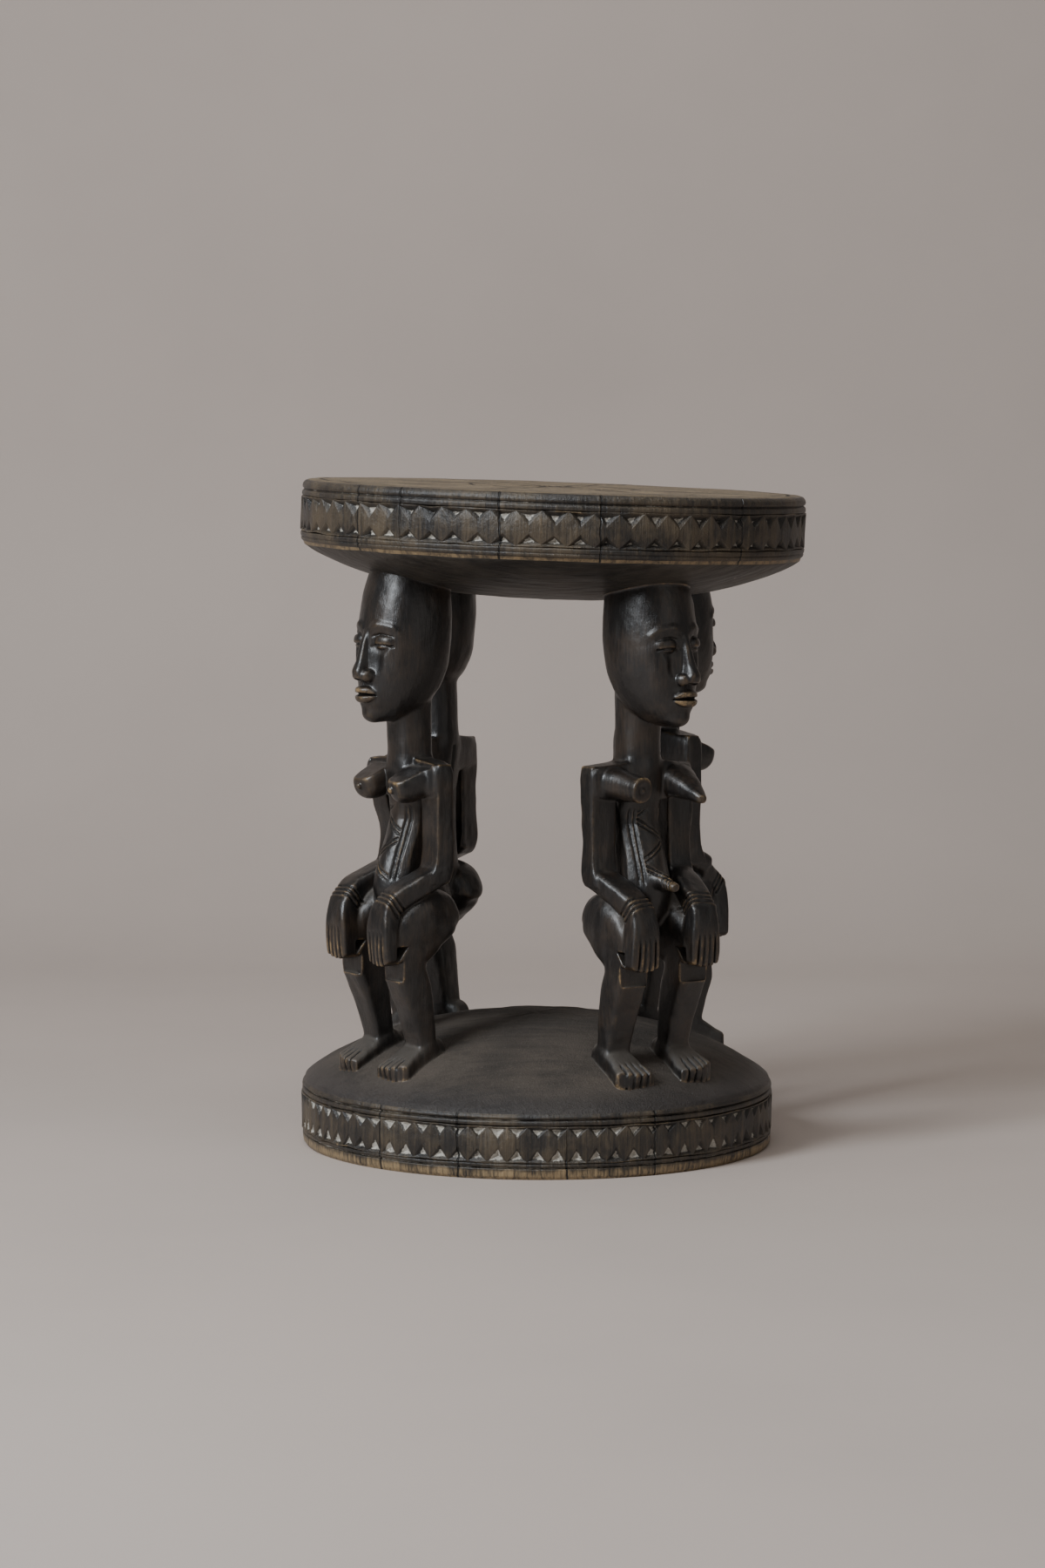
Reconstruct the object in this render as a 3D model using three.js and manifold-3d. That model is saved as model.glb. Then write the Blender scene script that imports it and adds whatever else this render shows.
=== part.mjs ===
// Carved side table: a round top and a round foot joined by four squatting women, all one block of wood.
// Millimetres, +Z up, the floor at z = 0, the axis of the foot at x = y = 0, the viewer on the -Y side.

import * as THREE from 'three';
import { mergeVertices } from 'three/addons/utils/BufferGeometryUtils.js';
import Module from 'manifold-3d';

const wasm = await Module();
wasm.setup();

// The two discs
const TABLE_HEIGHT = 500; // the middle of the top above the floor
const TOP_RADIUS = 191;
const TOP_SHIFT = 11.5; // the top sits off the axis of the foot, to the right
const TOP_TILT_X = -1.8; // degrees, the top falls away to the right
const TOP_TILT_Y = 0.5; // degrees, and rises a little to the back
const TOP_RIM = 46; // height of the vertical rim that carries the frieze
const TOP_BOWL = 38; // how far the rounded underside hangs below the rim
const FOOT_RADIUS = 180;
const FOOT_RIM = 48;
const DOME_RISE = 50; // how far the middle of the foot rises above its rim
const SEGMENTS = 48;

// A rim has two rolls above the frieze and one below it, parted by cut lines
const GROOVE_DEPTH = 1.6;
const FRIEZE_INSET = 0.8;

// The four women: where the neck stands, which way each faces (degrees from the viewer, to the
// right), how the head is turned and pushed forward, how much taller the trunk is, the bust and
// its reach, the knob of the navel, how far the knees stop short, and the right arm drawn in
const WOMEN = [
  { at: [-96, -69], faces: -54, turn: 0, push: 5, taller: 0, bust: 'pear', reach: 30, navel: 0, lap: 0, drawn: 6 },
  { at: [73, -96], faces: 37, turn: 11, push: 14, taller: 0, bust: 'cone', reach: 44, navel: 12, lap: 0, drawn: 0 },
  { at: [93, 70], faces: 126, turn: 0, push: 10, taller: 12, bust: 'round', reach: 32, navel: 7, lap: 9, drawn: 0 },
  { at: [-79, 90], faces: -122, turn: 0, push: 5, taller: 4, bust: 'pear', reach: 30, navel: 5, lap: 0, drawn: 0 },
];

// One woman in her own frame: u forward from the neck axis, v to her left, z up from the floor
const SHOULDER_HALF = 47.5;
const ARM = { v: 36, halfWide: 11.5, halfDeep: 7.5 };
const KNEE = { u: 28, v: 28, z: 152, halfWide: 13, halfDeep: 13.5 };
const TORSO_HALF = 18.5;
const FACET = 0.9; // knife facets flatter than this are merged

const radians = (degrees) => (degrees * Math.PI) / 180;
const mix = (a, b, t) => a + (b - a) * t;
const ease = (a, b, x) => {
  const t = Math.min(1, Math.max(0, (x - a) / (b - a)));
  return t * t * (3 - 2 * t);
};

// A closed solid from rings of equal length, the two ends closed by fans
function solidFromRings(rings) {
  const n = rings[0].length;
  const points = rings.flat();
  const triangles = [];
  for (let k = 0; k < rings.length - 1; k++) {
    for (let i = 0; i < n; i++) {
      const a = k * n + i;
      const b = k * n + ((i + 1) % n);
      triangles.push([a, b, a + n], [b, b + n, a + n]);
    }
  }
  for (const [k, flip] of [[0, true], [rings.length - 1, false]]) {
    const middle = rings[k].reduce((s, p) => s.clone().add(p), new THREE.Vector3()).divideScalar(n);
    const m = points.push(middle) - 1;
    for (let i = 0; i < n; i++) {
      const a = k * n + i;
      const b = k * n + ((i + 1) % n);
      triangles.push(flip ? [b, a, m] : [a, b, m]);
    }
  }
  let volume = 0;
  for (const [a, b, c] of triangles) {
    volume += points[a].dot(points[b].clone().cross(points[c]));
  }
  const faces = volume < 0 ? triangles.map(([a, b, c]) => [a, c, b]) : triangles;
  const mesh = new wasm.Mesh({
    numProp: 3,
    vertProperties: new Float32Array(points.flatMap((p) => [p.x, p.y, p.z])),
    triVerts: new Uint32Array(faces.flat()),
  });
  return new wasm.Manifold(mesh);
}

// Points of a rounded section round a centre; the power squares the corners
function section(centre, across, along, wide, deep, power, count) {
  const turns = [...Array(count).keys()].map((i) => (2 * Math.PI * (i + 0.5)) / count);
  const squared = (x) => Math.sign(x) * Math.abs(x) ** (2 / power);
  const c = turns.map((t) => squared(Math.cos(t)));
  const s = turns.map((t) => squared(Math.sin(t)));
  const reach = Math.max(...c);
  return turns.map((_, i) => centre.clone()
    .addScaledVector(across, (wide * c[i]) / reach)
    .addScaledVector(along, (deep * s[i]) / Math.max(...s)));
}

// A limb through stations {p, w, d}: half width w along the side axis, half depth d square to
// that and to the path. The side axis is across the body unless another is given.
function limb(stations, power = 3, count = 8, side = new THREE.Vector3(0, 1, 0)) {
  const at = stations.map((s) => new THREE.Vector3(...s.p));
  const rings = stations.map((s, k) => {
    const from = at[Math.max(0, k - 1)];
    const to = at[Math.min(at.length - 1, k + 1)];
    const path = to.clone().sub(from).normalize();
    const across = side.clone().addScaledVector(path, -side.dot(path)).normalize();
    const along = new THREE.Vector3().crossVectors(path, across);
    return section(at[k], across, along, s.w, s.d, power, count);
  });
  return solidFromRings(rings);
}

// A level stack {z, u, w, d}: each slice level, centred at u, half width w, half depth d
function stack(slices, v = 0, power = 2.6, count = 12) {
  const across = new THREE.Vector3(0, 1, 0);
  const forward = new THREE.Vector3(1, 0, 0);
  return solidFromRings(slices.map((s) =>
    section(new THREE.Vector3(s.u, v, s.z), across, forward, s.w, s.d, power, count)));
}

// A solid of turning from a profile [radius, z], its first and last points near the axis
function turned(profile, count = SEGMENTS) {
  return solidFromRings(profile.map(([r, z]) => {
    const ring = [];
    for (let i = 0; i < count; i++) {
      const t = (2 * Math.PI * i) / count;
      ring.push(new THREE.Vector3(r * Math.cos(t), r * Math.sin(t), z));
    }
    return ring;
  }));
}

const join = (solids) => solids.reduce((all, one) => all.add(one));
const mirrored = (solid) => [solid, solid.mirror([0, 1, 0])];

function placed(solid, matrix) {
  const e = matrix.elements;
  return solid.transform([...e]);
}

// The rim, from its upper edge down: roll, cut line, roll, sunk frieze, roll
function rimProfile(radius, upper, lower, steps) {
  const height = upper - lower;
  return steps.map(([inset, down]) => [radius - inset, upper - down * height]);
}

function makeTop() {
  const under = -TOP_RIM;
  const rim = rimProfile(TOP_RADIUS, 0, under, [
    [4, 0], [0, 0.1], [GROOVE_DEPTH, 0.23], [0.2, 0.32], [FRIEZE_INSET, 0.4], [FRIEZE_INSET, 0.84],
    [0, 0.9], [1, 1],
  ]);
  const bowl = [];
  for (const t of [0.95, 0.84, 0.66, 0.4, 0.12]) {
    bowl.push([TOP_RADIUS * t, under - TOP_BOWL * (1 - t ** 2.6) ** 0.8]);
  }
  const solid = turned([[TOP_RADIUS * 0.4, 0], ...rim, ...bowl]);
  const matrix = new THREE.Matrix4()
    .makeTranslation(TOP_SHIFT, 0, TABLE_HEIGHT)
    .multiply(new THREE.Matrix4().makeRotationY(radians(-TOP_TILT_X)))
    .multiply(new THREE.Matrix4().makeRotationX(radians(TOP_TILT_Y)));
  return placed(solid, matrix);
}

const domeHeight = (r) => FOOT_RIM + DOME_RISE * (1 - (r / FOOT_RADIUS) ** 2.3) ** 0.85;

function makeFoot() {
  const rim = rimProfile(FOOT_RADIUS, FOOT_RIM, 0, [
    [3.5, 0], [0, 0.1], [GROOVE_DEPTH, 0.2], [FRIEZE_INSET, 0.28], [FRIEZE_INSET, 0.7],
    [GROOVE_DEPTH, 0.75], [0.2, 0.84], [2, 1],
  ]);
  const dome = [0.12, 0.4, 0.62, 0.8, 0.93].map((t) =>
    [FOOT_RADIUS * t, domeHeight(FOOT_RADIUS * t)]);
  return turned([...dome, ...rim, [FOOT_RADIUS * 0.5, 0]]);
}

// The head is a plain egg whose crown runs up into the bowl of the top. The face is a calm,
// general one: eyes half way up, nose to half way between eyes and chin, mouth a third below.
function makeHead(chin, crown) {
  const z = (t) => mix(chin, crown, t);
  const egg = stack([
    { z: z(0), u: 17, w: 7, d: 8 },
    { z: z(0.035), u: 13, w: 15, d: 17 },
    { z: z(0.12), u: 8, w: 22.5, d: 25 },
    { z: z(0.26), u: 4, w: 29, d: 32 },
    { z: z(0.45), u: 1, w: 32, d: 35 },
    { z: z(0.66), u: -1, w: 31.5, d: 34.5 },
    { z: z(0.85), u: -3, w: 28.5, d: 31 },
    { z: z(1), u: -4, w: 24, d: 26 },
  ], 0, 2.3, 14);
  const nose = limb([
    { p: [27, 0, z(0.56)], w: 3, d: 4 },
    { p: [34.5, 0, z(0.43)], w: 4.2, d: 5.5 },
    { p: [38.5, 0, z(0.29)], w: 7.5, d: 6.5 },
    { p: [37, 0, z(0.25)], w: 7, d: 5 },
  ], 2.6, 6);
  const lip = (t, reach) => stack([
    { z: z(t - 0.022), u: 29, w: 9, d: reach - 1.5 },
    { z: z(t), u: 29, w: 10.5, d: reach },
    { z: z(t + 0.022), u: 29, w: 9.5, d: reach - 1.5 },
  ], 0, 2.2, 8);
  const lid = limb([
    { p: [28, 6.5, z(0.5)], w: 3, d: 2.6 },
    { p: [31, 13, z(0.505)], w: 6, d: 4.2 },
    { p: [22, 22.5, z(0.5)], w: 3, d: 2.6 },
  ], 2, 6);
  return join([egg, nose, lip(0.185, 11), lip(0.14, 10), ...mirrored(lid)]);
}

function makeBreast(bust, reach, z) {
  const tip = reach;
  const shapes = {
    pear: [[4, 11, 12, 3], [14, 12.5, 12, -1], [tip - 6, 11.5, 11.5, -5], [tip - 1, 7, 7, -5], [tip + 1, 3, 3, -4]],
    cone: [[2, 13, 11, 4], [16, 12, 10, 1], [tip - 12, 9.5, 8.5, -5], [tip - 2, 7, 6.5, -9], [tip, 4, 4, -10]],
    round: [[4, 12, 12, 2], [14, 14, 14, -1], [tip - 9, 13.5, 13.5, -4], [tip - 2, 8.5, 8.5, -5], [tip, 3, 3, -5]],
  };
  return limb(shapes[bust].map(([u, w, d, down]) =>
    ({ p: [u, 21 + u * 0.05, z + down], w, d })), 2.2, 8);
}

function makeWoman(woman) {
  // Above the lap the levels stretch with the height of the trunk
  const up = (z) => z + woman.taller * ease(190, 290, z);
  const crown = 448;
  const head = makeHead(up(328), crown)
    .rotate([0, 0, woman.turn])
    .translate([woman.push, 0, 0]);
  const neck = stack([
    { z: up(286), u: 0, w: 19, d: 17 }, { z: up(298), u: 0, w: 16.5, d: 16 },
    { z: up(325), u: 1, w: 16, d: 16.5 }, { z: up(352), u: 4, w: 17, d: 18 },
  ], 0, 2.2, 8);
  const yoke = [
    { p: [0, SHOULDER_HALF, up(284)], w: 7.5, d: 11 }, { p: [0, 42, up(285.5)], w: 9.5, d: 14.5 },
    { p: [0, 0, up(287)], w: 13, d: 16 },
  ];
  const opposite = ({ p: [u, v, z], w, d }) => ({ p: [u, -v, z], w, d });
  const shoulders = limb(
    [...yoke, ...yoke.slice(0, 2).reverse().map(opposite)], 3, 8, new THREE.Vector3(1, 0, 0));
  const breast = makeBreast(woman.bust, woman.reach, up(282));
  const trunk = stack([
    { z: up(292), u: 0, w: 24, d: 11 }, { z: up(268), u: 0, w: TORSO_HALF + 1, d: 12 },
    { z: up(240), u: 4, w: TORSO_HALF, d: 14 }, { z: 208, u: 11, w: TORSO_HALF + 2, d: 19 },
    { z: 198, u: 9, w: 24, d: 20 }, { z: 182, u: 5, w: 22, d: 17 },
  ], 0, 2.8, 12);
  const navel = woman.navel
    ? [limb([
      { p: [24, 0, 212], w: 6, d: 6 }, { p: [30 + woman.navel * 0.6, 0, 210], w: 4.5, d: 4 },
      { p: [34 + woman.navel, 0, 209], w: 3, d: 3 },
    ], 2.4, 8)]
    : [];
  const buttock = limb([
    { p: [10, 22, 187], w: 15, d: 14 }, { p: [-8, 22, 188], w: 21, d: 18 },
    { p: [-18, 21, 187], w: 17, d: 15 }, { p: [-24, 21, 186], w: 9, d: 9 },
  ], 2.3, 8);
  // From the hip forward the knees carry the hands, all of it drawn back by the lap
  const knee = (u) => u - woman.lap * ease(0, 28, u);
  const thigh = limb([
    { p: [-6, 26, 190], w: 19, d: 14 }, { p: [knee(12), 28, 183], w: 16, d: 14 },
    { p: [knee(30), KNEE.v, 170], w: 13, d: 13 }, { p: [knee(36), KNEE.v, 158], w: 12, d: 10 },
  ], 2.6, 8);
  const shin = limb([
    { p: [knee(31), KNEE.v, 166], w: 12, d: 11 },
    { p: [knee(KNEE.u), KNEE.v, KNEE.z], w: KNEE.halfWide, d: KNEE.halfDeep },
    { p: [knee(19), 28, 132], w: 13, d: 14.5 }, { p: [12, 28, 105], w: 11.5, d: 10 },
    { p: [9, 28, 82], w: 11, d: 8 }, { p: [8, 28, 62], w: 11, d: 9 },
  ], 3, 8);
  const ground = (u) => domeHeight(Math.hypot(119 + u, 28));
  const foot = limb([
    { p: [-8, 28, 70], w: 10, d: 9 }, { p: [8, 28, 74], w: 11.5, d: 12 },
    { p: [22, 28.5, 66], w: 13, d: 12 }, { p: [36, 29, ground(36) - 3], w: 16.5, d: 10 },
    { p: [38.5, 29, ground(38) - 4], w: 16, d: 9 },
  ], 3.2, 8);
  const arm = (drawn) => [
    limb([
      { p: [-1, ARM.v, up(288)], w: ARM.halfWide, d: ARM.halfDeep },
      { p: [-drawn, ARM.v - drawn, 240], w: ARM.halfWide - drawn / 4, d: ARM.halfDeep },
      { p: [1 - drawn, ARM.v - drawn, 218], w: ARM.halfWide - drawn / 4, d: ARM.halfDeep + 0.5 },
      { p: [6 - drawn, ARM.v - drawn, 206], w: 10.5, d: 6 },
    ], 3.4, 8),
    limb([
      { p: [-2 - drawn, ARM.v - drawn, 217], w: 11, d: 6 }, { p: [8 - drawn, 35 - drawn, 212], w: 11.5, d: 8.5 },
      { p: [knee(26), 31, 200], w: 11, d: 8.5 }, { p: [knee(40), 28, 191], w: 11.5, d: 8.5 },
      { p: [knee(45), 28, 176], w: 13, d: 7.5 }, { p: [knee(43.5), 28, 158], w: 13, d: 7 },
      { p: [knee(42.5), 28, 149], w: 12, d: 5.5 },
    ], 3, 8),
  ];
  const rightArm = arm(woman.drawn).map((solid) => solid.mirror([0, 1, 0]));
  const body = join([
    head, neck, shoulders, trunk, ...navel, ...arm(0), ...rightArm,
    ...[breast, buttock, thigh, shin, foot].flatMap(mirrored),
  ]);
  const turn = woman.faces - 90;
  return body.asOriginal().simplify(FACET).rotate([0, 0, turn]).translate([...woman.at, 0]);
}

function toMesh(solid, name, material) {
  const { vertProperties, triVerts, numProp } = solid.getMesh();
  const positions = new Float32Array((vertProperties.length / numProp) * 3);
  for (let i = 0; i < positions.length / 3; i++) {
    positions.set(vertProperties.slice(i * numProp, i * numProp + 3), i * 3);
  }
  let geometry = new THREE.BufferGeometry();
  geometry.setAttribute('position', new THREE.BufferAttribute(positions, 3));
  geometry.setIndex(new THREE.BufferAttribute(new Uint32Array(triVerts), 1));
  geometry = mergeVertices(geometry, 1e-4);
  geometry.computeVertexNormals();
  const mesh = new THREE.Mesh(geometry, material);
  mesh.name = name;
  return mesh;
}

const darkWood = new THREE.MeshStandardMaterial({ color: 0x2a211b, roughness: 0.5, metalness: 0 });

const carving = join([makeFoot(), makeTop(), ...WOMEN.map(makeWoman)]).asOriginal().simplify(0.08);

const table = new THREE.Group();
table.name = 'carved_side_table';
table.add(toMesh(carving, 'carved_table', darkWood));
table.updateMatrixWorld(true);

export default table;
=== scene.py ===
"""Carved side table: a patterned round top on the heads of four squatting women and a domed round foot.

The carving is worked in millimetres on a grid of distances, the way a carver rough-shapes and then
cuts, and each finished piece is handed over in metres in the frame of the model. Woods: near-black
polished figures, worn brown top, chalk-filled notches and a dusty foot.
"""

from __future__ import annotations

import logging
import math
from dataclasses import dataclass, field, replace
from enum import Enum
from typing import Callable, Iterable, Sequence, Union

import bpy
import numpy as np
from mathutils import Matrix, Vector

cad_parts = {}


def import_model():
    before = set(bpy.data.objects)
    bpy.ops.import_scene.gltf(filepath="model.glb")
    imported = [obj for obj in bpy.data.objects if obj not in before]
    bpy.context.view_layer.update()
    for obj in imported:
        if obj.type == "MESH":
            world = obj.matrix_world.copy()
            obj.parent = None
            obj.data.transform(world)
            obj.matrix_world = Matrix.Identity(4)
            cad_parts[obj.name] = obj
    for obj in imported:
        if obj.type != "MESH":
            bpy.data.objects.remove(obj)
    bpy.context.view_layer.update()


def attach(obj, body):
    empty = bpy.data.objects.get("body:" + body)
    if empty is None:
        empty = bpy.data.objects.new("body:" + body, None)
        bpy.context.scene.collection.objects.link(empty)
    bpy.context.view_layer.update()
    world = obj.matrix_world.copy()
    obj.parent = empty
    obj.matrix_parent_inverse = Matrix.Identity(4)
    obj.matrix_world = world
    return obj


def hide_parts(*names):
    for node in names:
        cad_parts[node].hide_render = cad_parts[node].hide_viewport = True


LOG = logging.getLogger("carved_side_table")
MM = 0.001
Point = Sequence[float]
Number = Union[float, "Value"]

# Sizes shared with the solid model, in millimetres
TABLE_HEIGHT = 500.0
TOP_RADIUS = 191.0
TOP_SHIFT = 11.5
TOP_TILT_X = -1.8
TOP_TILT_Y = 0.5
TOP_RIM = 46.0
TOP_BOWL = 38.0
FOOT_RADIUS = 180.0
FOOT_RIM = 48.0
DOME_RISE = 50.0
CROWN = 448.0


class Bust(Enum):
    """How the breasts of one woman are cut."""

    PEAR = "pear"
    CONE = "cone"
    ROUND = "round"


def dome_height(r: np.ndarray) -> np.ndarray:
    """Height of the foot's upper face at a distance from its axis."""
    t = np.clip(r / FOOT_RADIUS, 0.0, 1.0)
    return FOOT_RIM + DOME_RISE * (1.0 - t**2.3) ** 0.85


def bowl_height(x: np.ndarray, y: np.ndarray) -> np.ndarray:
    """Height of the top's rounded underside over a point of the floor."""
    t = np.clip(np.hypot(x - TOP_SHIFT, y) / TOP_RADIUS, 0.0, 1.0)
    hang = TOP_RIM + TOP_BOWL * (1.0 - t**2.6) ** 0.8
    fall = math.tan(math.radians(TOP_TILT_X)) * (x - TOP_SHIFT)
    rise = math.tan(math.radians(TOP_TILT_Y)) * y
    return TABLE_HEIGHT - hang + fall + rise


def ease(low: float, high: float, x: np.ndarray) -> np.ndarray:
    """A soft step from 0 at low to 1 at high."""
    t = np.clip((x - low) / (high - low), 0.0, 1.0)
    return t * t * (3.0 - 2.0 * t)


def smooth_min(a: np.ndarray, b: np.ndarray, k: float) -> np.ndarray:
    """The lesser of two distances, filleted over the width k."""
    if k <= 0.0:
        return np.minimum(a, b)
    h = np.maximum(k - np.abs(a - b), 0.0)
    return np.minimum(a, b) - h * h / (4.0 * k)


def lumps(shape: Sequence[int], cell: Sequence[float], seed: int) -> np.ndarray:
    """A soft random field between about -1 and 1.

    Args:
        shape: size of the grid in voxels.
        cell: size of one lump along each axis, in voxels.
        seed: fixed number that the field grows from.

    Returns:
        The field, one value for each voxel.
    """
    rng = np.random.default_rng(seed)
    counts = [int(math.ceil(n / c)) + 2 for n, c in zip(shape, cell)]
    made = rng.uniform(-1.0, 1.0, counts).astype(np.float32)
    for axis, (n, c) in enumerate(zip(shape, cell)):
        at = np.arange(n) / c
        low = at.astype(int)
        t = (at - low).astype(np.float32)
        t = t * t * (3.0 - 2.0 * t)
        t = t.reshape([-1 if k == axis else 1 for k in range(3)])
        made = np.take(made, low, axis) * (1.0 - t) + np.take(made, low + 1, axis) * t
    return made


# ---- shapes the carving is built from


@dataclass
class Limb:
    """A form swept along an axis through rows of (u, v, z, half width, half depth), smooth between them.

    The half width runs along side and the half depth square to it. Both ends are flat and rounded.
    """

    rows: Sequence[Sequence[float]]
    power: float = 4.0
    round: float = 2.0
    side: Point = (0.0, 1.0, 0.0)
    axis: Point | None = None

    def mirrored(self, sign: float = -1.0) -> "Limb":
        """The same form on the other side of the body, or this one if sign is 1."""
        rows = [(r[0], r[1] * sign, *r[2:]) for r in self.rows]
        return replace(self, rows=rows)

    def box(self) -> tuple[np.ndarray, np.ndarray]:
        """Lowest and highest corners."""
        rows = np.array(self.rows, float)
        reach = rows[:, 3:].max(1)[:, None] * 1.15
        return (rows[:, :3] - reach).min(0), (rows[:, :3] + reach).max(0)

    def distance(self, x: np.ndarray, y: np.ndarray, z: np.ndarray) -> np.ndarray:
        """Signed distance to the form's skin, close to the true one near it."""
        rows = np.array(self.rows, float)
        axis = np.array(self.axis, float) if self.axis is not None else rows[-1, :3] - rows[0, :3]
        axis /= np.linalg.norm(axis)
        side = np.array(self.side, float)
        side -= axis * side.dot(axis)
        side /= np.linalg.norm(side)
        over = np.cross(axis, side)
        at = rows[:, :3] @ axis
        order = np.argsort(at)
        fine = np.linspace(at.min(), at.max(), 240)
        tables = [smooth_table(at[order], values[order], fine)
                  for values in (rows[:, :3] @ side, rows[:, :3] @ over, rows[:, 3], rows[:, 4])]
        t, s, o = (x * d[0] + y * d[1] + z * d[2] for d in (axis, side, over))
        cs, co, w, d = (np.interp(t, fine, table).astype(np.float32) for table in tables)
        q = (np.abs((s - cs) / w) ** self.power + np.abs((o - co) / d) ** self.power) ** (1.0 / self.power)
        radial = (q - 1.0) * np.minimum(w, d) + self.round
        axial = np.maximum(fine[0] - t, t - fine[-1]) + self.round
        outside = np.hypot(np.maximum(radial, 0.0), np.maximum(axial, 0.0))
        return outside + np.minimum(np.maximum(radial, axial), 0.0) - self.round


@dataclass
class Ball:
    """An ellipsoid, tipped by angles in degrees about the three axes."""

    centre: Point
    radii: Point
    tip: Point = (0.0, 0.0, 0.0)

    def box(self) -> tuple[np.ndarray, np.ndarray]:
        """Lowest and highest corners."""
        c, reach = np.array(self.centre, float), max(self.radii)
        return c - reach, c + reach

    def mirrored(self) -> "Ball":
        """The same ball on the other side of the body."""
        c, t = self.centre, self.tip
        return replace(self, centre=(c[0], -c[1], c[2]), tip=(-t[0], t[1], -t[2]))

    def distance(self, x: np.ndarray, y: np.ndarray, z: np.ndarray) -> np.ndarray:
        """Signed distance to the ball's skin, close to the true one near it."""
        turn = np.eye(3)
        for axis, angle in zip("XYZ", self.tip):
            turn = np.array(Matrix.Rotation(math.radians(angle), 3, axis)) @ turn
        d = (x - self.centre[0], y - self.centre[1], z - self.centre[2])
        near, slope = 0.0, 0.0
        for k in range(3):
            local = d[0] * turn[0, k] + d[1] * turn[1, k] + d[2] * turn[2, k]
            near = near + (local / self.radii[k]) ** 2
            slope = slope + (local / self.radii[k] ** 2) ** 2
        near = np.sqrt(near)
        return near * (near - 1.0) / np.maximum(np.sqrt(slope), 1e-6)


def smooth_table(at: np.ndarray, value: np.ndarray, x: np.ndarray) -> np.ndarray:
    """Values of a table joined by a smooth curve that keeps within its neighbours."""
    step = np.diff(value) / np.diff(at)
    slope = np.zeros_like(value)
    same = step[1:] * step[:-1] > 0
    slope[1:-1] = np.where(same, 2.0 * step[1:] * step[:-1] / np.where(same, step[1:] + step[:-1], 1.0), 0.0)
    slope[0], slope[-1] = step[0], step[-1]
    x = np.clip(x, at[0], at[-1])
    k = np.clip(np.searchsorted(at, x, side="right") - 1, 0, len(at) - 2)
    h = at[k + 1] - at[k]
    t = (x - at[k]) / h
    return (value[k] * (1 + 2 * t) * (1 - t) ** 2 + slope[k] * h * t * (1 - t) ** 2
            + value[k + 1] * t * t * (3 - 2 * t) + slope[k + 1] * h * t * t * (t - 1))


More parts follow.
